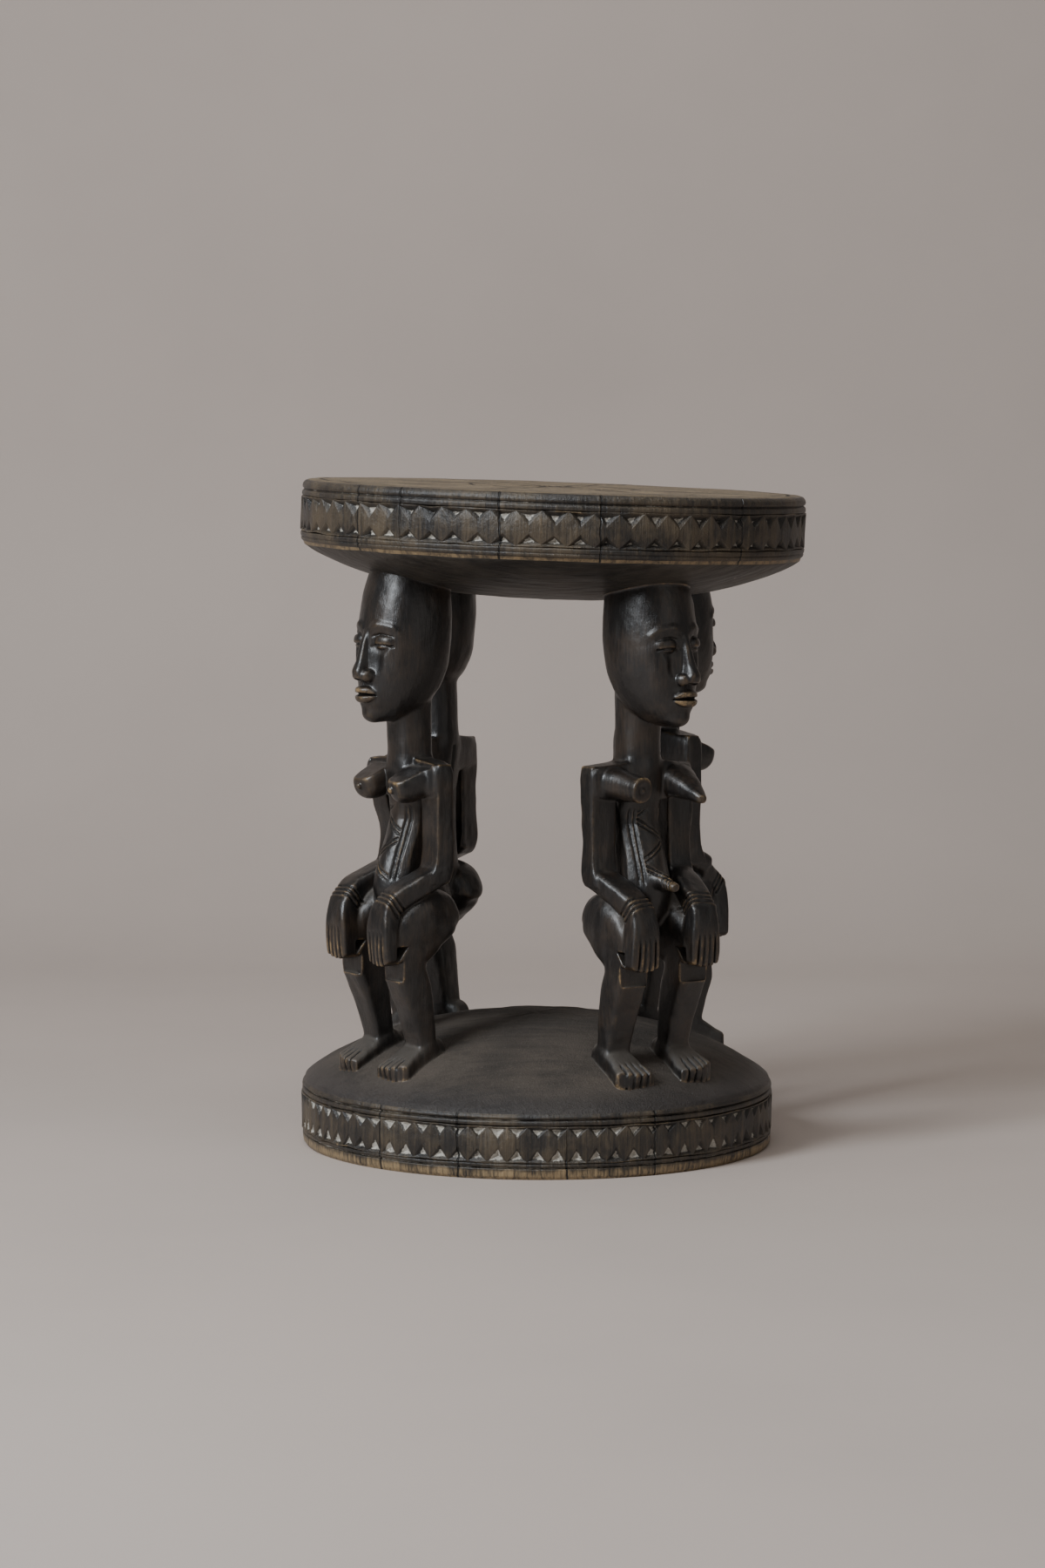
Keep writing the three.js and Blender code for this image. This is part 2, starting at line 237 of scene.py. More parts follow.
@dataclass
class Block:
    """A block of wood on a grid: each voxel holds its distance from the skin, below nought inside."""

    low: Point
    high: Point
    step: float
    ink: np.ndarray = field(init=False)
    field: np.ndarray = field(init=False)

    def __post_init__(self) -> None:
        """Lay out the grid, all of it air."""
        self.low = np.array(self.low, float)
        self.count = np.ceil((np.array(self.high) - self.low) / self.step).astype(int) + 1
        self.axes = [(self.low[k] + self.step * np.arange(self.count[k])).astype(np.float32) for k in range(3)]
        self.field = np.full(self.count, 20.0, np.float32)
        self.ink = np.zeros(self.count, np.float32)

    def window(self, low: Point, high: Point, margin: float = 8.0):
        """The slices and coordinates of the voxels between two corners and a margin."""
        cuts, at = [], []
        for k in range(3):
            a = int(np.clip((low[k] - margin - self.low[k]) / self.step, 0, self.count[k] - 1))
            b = int(np.clip((high[k] + margin - self.low[k]) / self.step + 2, a + 1, self.count[k]))
            cuts.append(slice(a, b))
            at.append(self.axes[k][a:b].reshape([-1 if j == k else 1 for j in range(3)]))
        return tuple(cuts), at

    def add(self, *shapes: Union[Limb, Ball], blend: float = 1.5) -> None:
        """Build each shape on, with a fillet as wide as blend."""
        for shape in shapes:
            cuts, at = self.window(*shape.box())
            self.field[cuts] = smooth_min(self.field[cuts], shape.distance(*at).astype(np.float32), blend)

    def cut(self, *shapes: Union[Limb, Ball], blend: float = 1.0) -> None:
        """Cut each shape away, its edges rounded over blend."""
        for shape in shapes:
            cuts, at = self.window(*shape.box())
            self.field[cuts] = -smooth_min(-self.field[cuts], shape.distance(*at).astype(np.float32), blend)

    def pare(self, low: Point, high: Point, plane: Callable[..., np.ndarray], blend: float = 1.0) -> None:
        """Pare a region down to a plane, given as the height above it."""
        cuts, at = self.window(low, high, 0.0)
        self.field[cuts] = -smooth_min(-self.field[cuts], -plane(*at).astype(np.float32), blend)

    def score(self, low: Point, high: Point, depth: Callable[..., np.ndarray]) -> None:
        """Sink lines into the skin inside a region, given their depth at each point, and keep that depth as the mask
        for the painted shade in them.
        """
        cuts, at = self.window(low, high, 0.0)
        near = np.abs(self.field[cuts]) < 5.0
        sunk = np.where(near, depth(*at), 0.0).astype(np.float32)
        self.field[cuts] += sunk
        # Painted shade: keep how deep each scored line is, so that it can be darkened
        self.ink[cuts] = np.maximum(self.ink[cuts], np.minimum(sunk / 1.1, 1.0))

    def sample(self, points: np.ndarray, grid: np.ndarray | None = None) -> np.ndarray:
        """Distances, or the values of another grid like it, at points between the voxels."""
        grid = self.field if grid is None else grid
        at = np.clip((points - self.low) / self.step, 0, np.array(self.count) - 1.001)
        base = at.astype(int)
        t = at - base
        made = 0.0
        for corner in range(8):
            k = np.array([corner >> 2 & 1, corner >> 1 & 1, corner & 1])
            weight = np.prod(np.where(k, t, 1.0 - t), axis=1)
            i = base + k
            made = made + weight * grid[i[:, 0], i[:, 1], i[:, 2]]
        return made

    def bent(self, radius: int, passes: int = 2) -> np.ndarray:
        """How the skin bends about each voxel: above nought on edges, below nought in hollows."""
        made = np.clip(self.field, -1.5 * radius * self.step, 1.5 * radius * self.step)
        for axis in range(3):
            for _ in range(passes):
                total = made.copy()
                for k in range(1, radius + 1):
                    low, high = [slice(None)] * 3, [slice(None)] * 3
                    low[axis], high[axis] = slice(0, -k), slice(k, None)
                    total[tuple(low)] += made[tuple(high)]
                    total[tuple(high)] += made[tuple(low)]
                made = total / (2 * radius + 1)
        return made / (radius * self.step)

    def skin(self) -> tuple[np.ndarray, np.ndarray]:
        """Wrap the wood in quads by surface nets.

        Returns:
            The corner points and the quads, facing outwards.
        """
        f = self.field
        f[[0, -1]], f[:, [0, -1]], f[:, :, [0, -1]] = 2.0, 2.0, 2.0
        inside = f < 0.0
        corners = [inside[i:i - 1 or None, j:j - 1 or None, k:k - 1 or None]
                   for i in (0, 1) for j in (0, 1) for k in (0, 1)]
        total = sum(c.astype(np.uint8) for c in corners)
        cells = np.argwhere((total > 0) & (total < 8))
        index = np.full(total.shape, -1, np.int32)
        index[tuple(cells.T)] = np.arange(len(cells))
        value = [f[cells[:, 0] + i, cells[:, 1] + j, cells[:, 2] + k]
                 for i in (0, 1) for j in (0, 1) for k in (0, 1)]
        place = np.zeros((len(cells), 3), np.float64)
        hits = np.zeros(len(cells))
        for a in range(8):
            for bit in (4, 2, 1):
                if a & bit:
                    continue
                va, vb = value[a], value[a | bit]
                cross = (va < 0) != (vb < 0)
                t = np.where(cross, va / np.where(cross, va - vb, 1.0), 0.0)
                at = np.array([a >> 2 & 1, a >> 1 & 1, a & 1], float) + np.outer(t, [bit == 4, bit == 2, bit == 1])
                place += at * cross[:, None]
                hits += cross
        points = self.low + self.step * (cells + place / hits[:, None])
        quads = []
        for axis in range(3):
            others = [k for k in range(3) if k != axis]
            a = [slice(1, -1)] * 3
            b = [slice(1, -1)] * 3
            a[axis], b[axis] = slice(0, -1), slice(1, None)
            sa, sb = inside[tuple(a)], inside[tuple(b)]
            at = np.argwhere(sa != sb)
            flip = sa[tuple(at.T)]
            at = at.copy()
            for k in others:
                at[:, k] += 1
            around = []
            for du, dv in ((0, 0), (1, 0), (1, 1), (0, 1)):
                c = at.copy()
                c[:, others[0]] -= du
                c[:, others[1]] -= dv
                around.append(index[tuple(c.T)])
            quad = np.stack(around, 1)
            turn = flip if axis != 1 else ~flip
            quads.append(np.where(turn[:, None], quad, quad[:, ::-1]))
        return points, np.concatenate(quads)


# ---- meshes


def make_mesh(name: str, points: np.ndarray, faces: np.ndarray, smooth: bool = True) -> bpy.types.Object:
    """An object from points in metres and faces of equal size, linked to the scene."""
    mesh = bpy.data.meshes.new(name)
    mesh.vertices.add(len(points))
    mesh.vertices.foreach_set("co", np.asarray(points, np.float32).ravel())
    size = faces.shape[1]
    mesh.loops.add(faces.size)
    mesh.loops.foreach_set("vertex_index", faces.astype(np.int32).ravel())
    mesh.polygons.add(len(faces))
    mesh.polygons.foreach_set("loop_start", np.arange(0, faces.size, size, dtype=np.int32))
    mesh.update(calc_edges=True)
    mesh.validate()
    mesh.polygons.foreach_set("use_smooth", np.full(len(mesh.polygons), smooth))
    obj = bpy.data.objects.new(name, mesh)
    bpy.context.scene.collection.objects.link(obj)
    return obj


def baked(obj: bpy.types.Object) -> bpy.types.Object:
    """The object with its modifiers turned into plain mesh."""
    graph = bpy.context.evaluated_depsgraph_get()
    mesh = bpy.data.meshes.new_from_object(obj.evaluated_get(graph))
    mesh.name = obj.name
    obj.modifiers.clear()
    old, obj.data = obj.data, mesh
    bpy.data.meshes.remove(old)
    return obj


def points_of(mesh: bpy.types.Mesh) -> np.ndarray:
    """All vertex places."""
    flat = np.empty(len(mesh.vertices) * 3, np.float32)
    mesh.vertices.foreach_get("co", flat)
    return flat.reshape(-1, 3).astype(float)


def normals_of(mesh: bpy.types.Mesh) -> np.ndarray:
    """All vertex normals."""
    flat = np.empty(len(mesh.vertices) * 3, np.float32)
    mesh.vertex_normals.foreach_get("vector", flat)
    return flat.reshape(-1, 3).astype(float)


def put_attribute(mesh: bpy.types.Mesh, name: str, values: np.ndarray) -> None:
    """Store one number for each vertex."""
    if name in mesh.attributes:
        mesh.attributes.remove(mesh.attributes[name])
    layer = mesh.attributes.new(name, "FLOAT", "POINT")
    layer.data.foreach_set("value", np.asarray(values, np.float32))


# ---- shader sums


class Value:
    """A socket of a shader tree that can be used in sums."""

    def __init__(self, book: "ShaderBook", socket: bpy.types.NodeSocket) -> None:
        """Wrap a socket of the book's tree."""
        self.book = book
        self.socket = socket

    def _sum(self, operation: str, *others: Number, swap: bool = False) -> "Value":
        """One Math node."""
        terms = [self, *others]
        if swap:
            terms = terms[::-1]
        return self.book.node("ShaderNodeMath", {"operation": operation}, dict(enumerate(terms)))

    def __add__(self, other: Number) -> "Value":
        """Sum."""
        return self._sum("ADD", other)

    __radd__ = __add__

    def __sub__(self, other: Number) -> "Value":
        """Difference."""
        return self._sum("SUBTRACT", other)

    def __rsub__(self, other: Number) -> "Value":
        """Difference, the other first."""
        return self._sum("SUBTRACT", other, swap=True)

    def __mul__(self, other: Number) -> "Value":
        """Product."""
        return self._sum("MULTIPLY", other)

    __rmul__ = __mul__

    def __truediv__(self, other: Number) -> "Value":
        """Quotient."""
        return self._sum("DIVIDE", other)

    def __rtruediv__(self, other: Number) -> "Value":
        """Quotient, the other first."""
        return self._sum("DIVIDE", other, swap=True)

    def __pow__(self, other: Number) -> "Value":
        """Power."""
        return self._sum("POWER", other)

    def size(self) -> "Value":
        """Absolute value."""
        return self._sum("ABSOLUTE")

    def least(self, other: Number) -> "Value":
        """The lesser."""
        return self._sum("MINIMUM", other)

    def most(self, other: Number) -> "Value":
        """The greater."""
        return self._sum("MAXIMUM", other)

    def step(self, low: float, high: float, out: tuple[float, float] = (0.0, 1.0)) -> "Value":
        """A soft step from out[0] at low to out[1] at high."""
        return self.book.node(
            "ShaderNodeMapRange", {"interpolation_type": "SMOOTHSTEP"},
            {"Value": self, "From Min": low, "From Max": high, "To Min": out[0], "To Max": out[1]})


class ShaderBook:
    """One material's tree, written as sums."""

    def __init__(self, name: str) -> None:
        """Start a material with a Principled shader."""
        self.material = bpy.data.materials.new(name)
        self.material.use_nodes = True
        self.tree = self.material.node_tree
        self.shader = self.tree.nodes["Principled BSDF"]

    def node(self, kind: str, settings: dict, inputs: dict, out: Union[str, int] = 0) -> Value:
        """Make one node.

        Args:
            kind: the node's type.
            settings: its properties.
            inputs: values or links, by socket name or number.
            out: which output to hand on.

        Returns:
            That output.
        """
        made = self.tree.nodes.new(kind)
        for key, setting in settings.items():
            setattr(made, key, setting)
        for key, value in inputs.items():
            self._feed(made.inputs[key], value)
        return Value(self, made.outputs[out])

    def _feed(self, socket: bpy.types.NodeSocket, value: object) -> None:
        """Link or set one input."""
        if isinstance(value, Value):
            self.tree.links.new(value.socket, socket)
        else:
            socket.default_value = value

    def place(self) -> Value:
        """Object coordinates."""
        return self.node("ShaderNodeTexCoord", {}, {}, "Object")

    def axis(self, vector: Value, which: str) -> Value:
        """One part of a vector."""
        return self.node("ShaderNodeSeparateXYZ", {}, {0: vector}, which)

    def scaled(self, vector: Value, by: Point) -> Value:
        """A vector stretched along each axis."""
        return self.node("ShaderNodeVectorMath", {"operation": "MULTIPLY"}, {0: vector, 1: tuple(by)})

    def noise(self, vector: Value, scale: float, detail: float = 3.0, rough: float = 0.55) -> Value:
        """Cloudy noise from 0 to 1."""
        return self.node("ShaderNodeTexNoise", {"noise_dimensions": "3D"},
                         {"Vector": vector, "Scale": scale, "Detail": detail, "Roughness": rough}, 0)

    def cells(self, vector: Value, scale: float, feature: str = "F1") -> Value:
        """Distance to scattered points."""
        return self.node("ShaderNodeTexVoronoi", {"feature": feature}, {"Vector": vector, "Scale": scale}, 0)

    def kept(self, name: str) -> Value:
        """A number stored on the mesh."""
        return self.node("ShaderNodeAttribute", {"attribute_name": name}, {}, "Fac")

    def colour(self, rgb: Point) -> tuple[float, float, float, float]:
        """A plain colour."""
        return (*rgb, 1.0)

    def mix(self, factor: Number, a: object, b: object) -> Value:
        """Two colours mixed."""
        node = self.tree.nodes.new("ShaderNodeMix")
        node.data_type = "RGBA"
        self._feed(node.inputs[0], factor)
        self._feed(node.inputs[6], a if isinstance(a, Value) else self.colour(a))
        self._feed(node.inputs[7], b if isinstance(b, Value) else self.colour(b))
        return Value(self, node.outputs[2])

    def bump(self, height: Value, distance: float, strength: float = 1.0, under: Value | None = None) -> Value:
        """A surface relief; height is in the units of distance."""
        inputs = {"Height": height, "Distance": distance, "Strength": strength}
        if under is not None:
            inputs["Normal"] = under
        return self.node("ShaderNodeBump", {}, inputs)

    def finish(self, colour: Value, rough: Number, normal: Value, **plain: float) -> bpy.types.Material:
        """Feed the shader and hand over the material."""
        self._feed(self.shader.inputs["Base Color"], colour)
        self._feed(self.shader.inputs["Roughness"], rough)
        self._feed(self.shader.inputs["Normal"], normal)
        for key, value in plain.items():
            self.shader.inputs[key.replace("_", " ")].default_value = value
        return self.material


@dataclass(frozen=True)
class FigureWood:
    """Near-black hardwood of the women: polished high parts, brown where handled, dust in hollows, and painted shade
    deep in the hollows and in the scored lines.
    """

    black: Point = (0.0072, 0.0064, 0.0062)
    brown: Point = (0.031, 0.0205, 0.0132)
    raw: Point = (0.27, 0.18, 0.085)
    dust: Point = (0.072, 0.062, 0.051)

    def material(self) -> bpy.types.Material:
        """Build the finish."""
        book = ShaderBook("figure_wood")
        place = book.place()
        z = book.axis(place, "Z")
        worn, hollow, level = book.kept("worn"), book.kept("hollow"), book.kept("level")
        grain = book.noise(book.scaled(place, (1.0, 1.0, 0.10)), 480.0, 4.0, 0.6)
        fibre = book.noise(book.scaled(place, (1.0, 1.0, 0.07)), 1500.0, 3.0, 0.6)
        cloud = book.noise(place, 30.0, 3.0)
        patch = book.noise(place, 95.0, 3.0)
        speck = book.noise(place, 700.0, 2.0)
        wood = book.mix((cloud * 0.9 + grain * 0.5).step(0.62, 0.95), self.black, self.brown)
        rub = worn + patch * 1.1 + speck * 0.5 + grain * 0.5
        wood = book.mix(rub.step(1.45, 2.1) * 0.7, wood, (0.075, 0.05, 0.027))
        wood = book.mix(rub.step(1.98, 2.3) * 0.85, wood, self.raw)
        low = z.step(0.26, 0.09)
        settle = (hollow * 0.5 + level * (low * 0.45 + 0.14) + low * 0.3 + patch * 0.55 + speck * 0.15).step(0.62, 1.15)
        wood = book.mix(settle * 0.7, wood, self.dust)
        # Painted shade: hollows darkened to near black, less on faces that look up
        wood = book.mix((hollow * 1.1 - level * 0.8).step(0.35, 1.0) * 0.6, wood, (0.004, 0.0036, 0.0034))
        # Painted shade: scored lines darkened to near black by their depth
        wood = book.mix((book.kept("ink") + patch * 0.3).step(0.45, 0.95) * 0.85, wood, (0.0022, 0.002, 0.0018))
        rough = (cloud * 0.20 + grain * 0.22 + patch * 0.12 + settle * 0.32 + 0.12).least(0.95)
        tool = book.cells(book.scaled(place, (1.0, 1.0, 0.6)), 150.0)
        coarse = book.bump(tool * 0.6 + book.noise(place, 210.0, 2.0) * 0.6, 0.0009, 0.5)
        normal = book.bump(grain * 0.65 + fibre * 0.35, 0.00045, 0.8, coarse)
        return book.finish(wood, rough, normal, Specular_IOR_Level=0.6, Coat_Weight=0.15, Coat_Roughness=0.28)


@dataclass(frozen=True)
class RimWood:
    """Dark rims with worn brown edges, vertical grain, drying cracks, chalky residue in the cuts and painted shade deep
    in them.
    """

    name: str
    centre: Point
    black: Point = (0.0125, 0.0112, 0.0105)
    brown: Point = (0.088, 0.066, 0.040)
    raw: Point = (0.30, 0.215, 0.115)
    chalk: Point = (0.50, 0.475, 0.42)
    chalk_side: float = 0.0
    chalk_from: float = 1.0
    foot_worn: float = -1.0
    cracks: Sequence[float] = (-1.2, -0.55, 0.35, 1.4, 2.6, 3.9)

    def material(self) -> bpy.types.Material:
        """Build the finish."""
        book = ShaderBook(self.name)
        place = book.place()
        moved = book.node("ShaderNodeVectorMath", {"operation": "SUBTRACT"}, {0: place, 1: tuple(self.centre)})
        x, y, z = (book.axis(moved, k) for k in "XYZ")
        angle = x._sum("ARCTAN2", y * -1.0)
        depth, worn = book.kept("depth"), book.kept("worn")
        grain = book.noise(book.scaled(place, (1.0, 1.0, 0.07)), 430.0, 4.0, 0.7)
        fibre = book.noise(book.scaled(place, (1.0, 1.0, 0.05)), 1300.0, 3.0, 0.6)
        cloud = book.noise(place, 24.0, 3.0)
        patch = book.noise(place, 110.0, 4.0, 0.6)
        speck = book.noise(place, 800.0, 3.0, 0.65)
        tone = (cloud * 1.1 + grain * 0.75 + patch * 0.3).step(0.88, 1.42)
        wood = book.mix(tone, self.black, self.brown)
        rub = worn * 0.9 + patch * 0.9 + grain * 0.7 + speck * 0.3
        wood = book.mix(rub.step(1.25, 1.75) * 0.6, wood, self.brown)
        wood = book.mix(rub.step(1.62, 2.0) * 0.85, wood, self.raw)
        if self.foot_worn > 0.0:
            strip = (z + (patch - 0.5) * 0.010).step(self.foot_worn, self.foot_worn * 0.55)
            wood = book.mix(strip * (grain * 0.9 + cloud * 0.5).step(0.5, 0.85), wood, self.raw)
        spread = (angle - self.chalk_side).size().step(0.3, 1.9, (0.0, 0.28))
        chalk = (depth * 1.5 + patch * 1.2 + speck * 0.8 + (cloud - 0.5) * 1.6 - spread).step(self.chalk_from + 0.72, self.chalk_from + 0.98)
        # Painted shade: notches and grooves darkened to near black by their depth
        dark = (depth.step(0.05, 0.7) * 0.75)
        wood = book.mix(dark, wood, (0.006, 0.0055, 0.005))
        wood = book.mix(chalk * (speck * 1.6 + patch * 0.7).step(0.75, 1.25, (0.35, 0.95)), wood, self.chalk)
        wander = (book.noise(book.scaled(place, (0.4, 0.4, 1.0)), 70.0, 2.0) - 0.5) * 0.014
        crack = None
        for k, at in enumerate(self.cracks):
            line = (angle - at + wander * (1.0 + 0.3 * k)).size().step(0.0016, 0.0050, (1.0, 0.0))
            line = line * (cloud + z * (30.0 if k % 2 else -30.0)).step(-1.1, 0.4) if k % 3 else line
            crack = line if crack is None else crack.most(line)
        wood = book.mix(crack, wood, (0.004, 0.0035, 0.003))
        rough = (grain * 0.3 + cloud * 0.18 + patch * 0.15 + chalk * 0.35 + 0.1).least(0.95)
        coarse = book.bump(patch, 0.0016, 0.7)
        normal = book.bump(grain * 0.8 + fibre * 0.4 + speck * 0.25 - crack * 3.0, 0.0009, 0.9, coarse)
        return book.finish(wood, rough, normal, Specular_IOR_Level=0.6)


@dataclass(frozen=True)
class TopWood:
    """The worn upper face of the table: lighter brown, dished lines cut in it, dark where oiled."""

    pale: Point = (0.25, 0.195, 0.125)
    brown: Point = (0.10, 0.078, 0.052)
    line: Point = (0.010, 0.008, 0.006)

    def material(self) -> bpy.types.Material:
        """Build the finish."""
        book = ShaderBook("top_wood")
        place = book.place()
        x = (book.axis(place, "X") - TOP_SHIFT * MM) * 1000.0
        y = book.axis(place, "Y") * 1000.0
        wander = (book.noise(place, 28.0, 2.0) - 0.5) * 5.0
        grain = book.noise(book.scaled(place, (1.0, 0.07, 1.0)), 420.0, 4.0, 0.65)
        cloud = book.noise(place, 16.0, 4.0)
        patch = book.noise(place, 70.0, 3.0)
        radius = (x * x + y * y) ** 0.5 + wander
        cut = (radius - 177.0).size().step(0.8, 1.9, (1.0, 0.0))
        cut = cut.most((radius - 64.0).size().step(0.8, 1.9, (1.0, 0.0)) * 0.9)
        inner = radius.step(175.0, 177.0, (1.0, 0.0))
        for turn in (28.0, 72.0, 118.0, 162.0):
            c, s = math.cos(math.radians(turn)), math.sin(math.radians(turn))
            across = (x * c + y * s + wander * 0.5).size()
            pair = (across - 5.0).size().step(0.7, 1.6, (1.0, 0.0))
            cut = cut.most(pair * inner)
        wood = book.mix((cloud * 0.7 + grain * 0.5).step(0.35, 0.85), self.brown, self.pale)
        wood = book.mix(patch.step(0.5, 0.8) * 0.6, wood, (0.045, 0.036, 0.026))
        wood = book.mix(radius.step(150.0, 190.0) * 0.35, wood, self.brown)
        wood = book.mix(cut, wood, self.line)
        rough = (grain * 0.2 + cloud * 0.2 + 0.42).least(0.95)
        normal = book.bump(grain * 0.5 + patch * 0.3 - cut * 2.0, 0.0006, 0.7)
        return book.finish(wood, rough, normal, Specular_IOR_Level=0.4)


@dataclass(frozen=True)
class BowlWood:
    """The underside of the top: dark, smoky, with the marks of the adze."""

    dark: Point = (0.012, 0.0112, 0.0102)
    brown: Point = (0.050, 0.043, 0.034)

    def material(self) -> bpy.types.Material:
        """Build the finish."""
        book = ShaderBook("bowl_wood")
        place = book.place()
        chips = book.cells(book.scaled(place, (0.35, 1.0, 1.0)), 110.0)
        streak = book.noise(book.scaled(place, (0.2, 1.0, 1.0)), 170.0, 3.0)
        grain = book.noise(book.scaled(place, (0.09, 1.0, 1.0)), 520.0, 4.0, 0.6)
        cloud = book.noise(place, 22.0, 3.0)
        wood = book.mix((cloud * 0.9 + grain * 0.5 + streak * 0.4).step(0.7, 1.15), self.dark, self.brown)
        rough = (grain * 0.25 + cloud * 0.25 + 0.22).least(0.95)
        coarse = book.bump(chips * 0.8 + streak * 0.6, 0.0016, 0.8)
        return book.finish(wood, rough, book.bump(grain, 0.0006, 0.8, coarse), Specular_IOR_Level=0.5)


@dataclass(frozen=True)
class DomeWood:
    """The foot's domed face: matt grey-brown, grainy with settled dust, darker to the rim."""

    grey: Point = (0.088, 0.073, 0.060)
    dark: Point = (0.036, 0.031, 0.027)

    def material(self) -> bpy.types.Material:
        """Build the finish."""
        book = ShaderBook("dome_wood")
        place = book.place()
        cloud = book.noise(place, 14.0, 4.0)
        streak = book.noise(book.scaled(place, (0.12, 1.0, 1.0)), 180.0, 3.0)
        grit = book.noise(place, 620.0, 4.0, 0.75)
        pores = book.cells(place, 620.0)
        x, y = book.axis(place, "X"), book.axis(place, "Y")
        radius = (x * x + y * y) ** 0.5
        wood = book.mix((cloud * 0.9 + streak * 0.45 + grit * 0.25).step(0.55, 1.02), self.dark, self.grey)
        wood = book.mix(grit.step(0.54, 0.72) * 0.55, wood, (0.15, 0.128, 0.105))
        wood = book.mix(pores.step(0.34, 0.05) * 0.6, wood, self.dark)
        wood = book.mix(radius.step(0.150, 0.178) * 0.65, wood, (0.022, 0.021, 0.023))
        rough = (grit * 0.15 + 0.70 - radius.step(0.15, 0.178) * 0.36).least(0.95)
        coarse = book.bump(book.noise(place, 130.0, 3.0), 0.0016, 0.6)
        normal = book.bump(grit * 0.9 - pores.step(0.3, 0.0) * 0.5, 0.0011, 0.9, coarse)
        return book.finish(wood, rough, normal, Specular_IOR_Level=0.35)


@dataclass(frozen=True)
class StudioGround:
    """The plain pale floor and backdrop."""

    tint: Point = (0.50, 0.435, 0.395)

    def material(self) -> bpy.types.Material:
        """Build the finish."""
        book = ShaderBook("studio_ground")
        place = book.place()
        cloud = book.noise(place, 2.2, 4.0)
        paint = book.mix(cloud.step(0.3, 0.8) * 0.5, self.tint, tuple(0.86 * c for c in self.tint))
        return book.finish(paint, cloud * 0.1 + 0.75, book.bump(book.noise(place, 60.0, 3.0), 0.001, 0.15))


# ---- the women


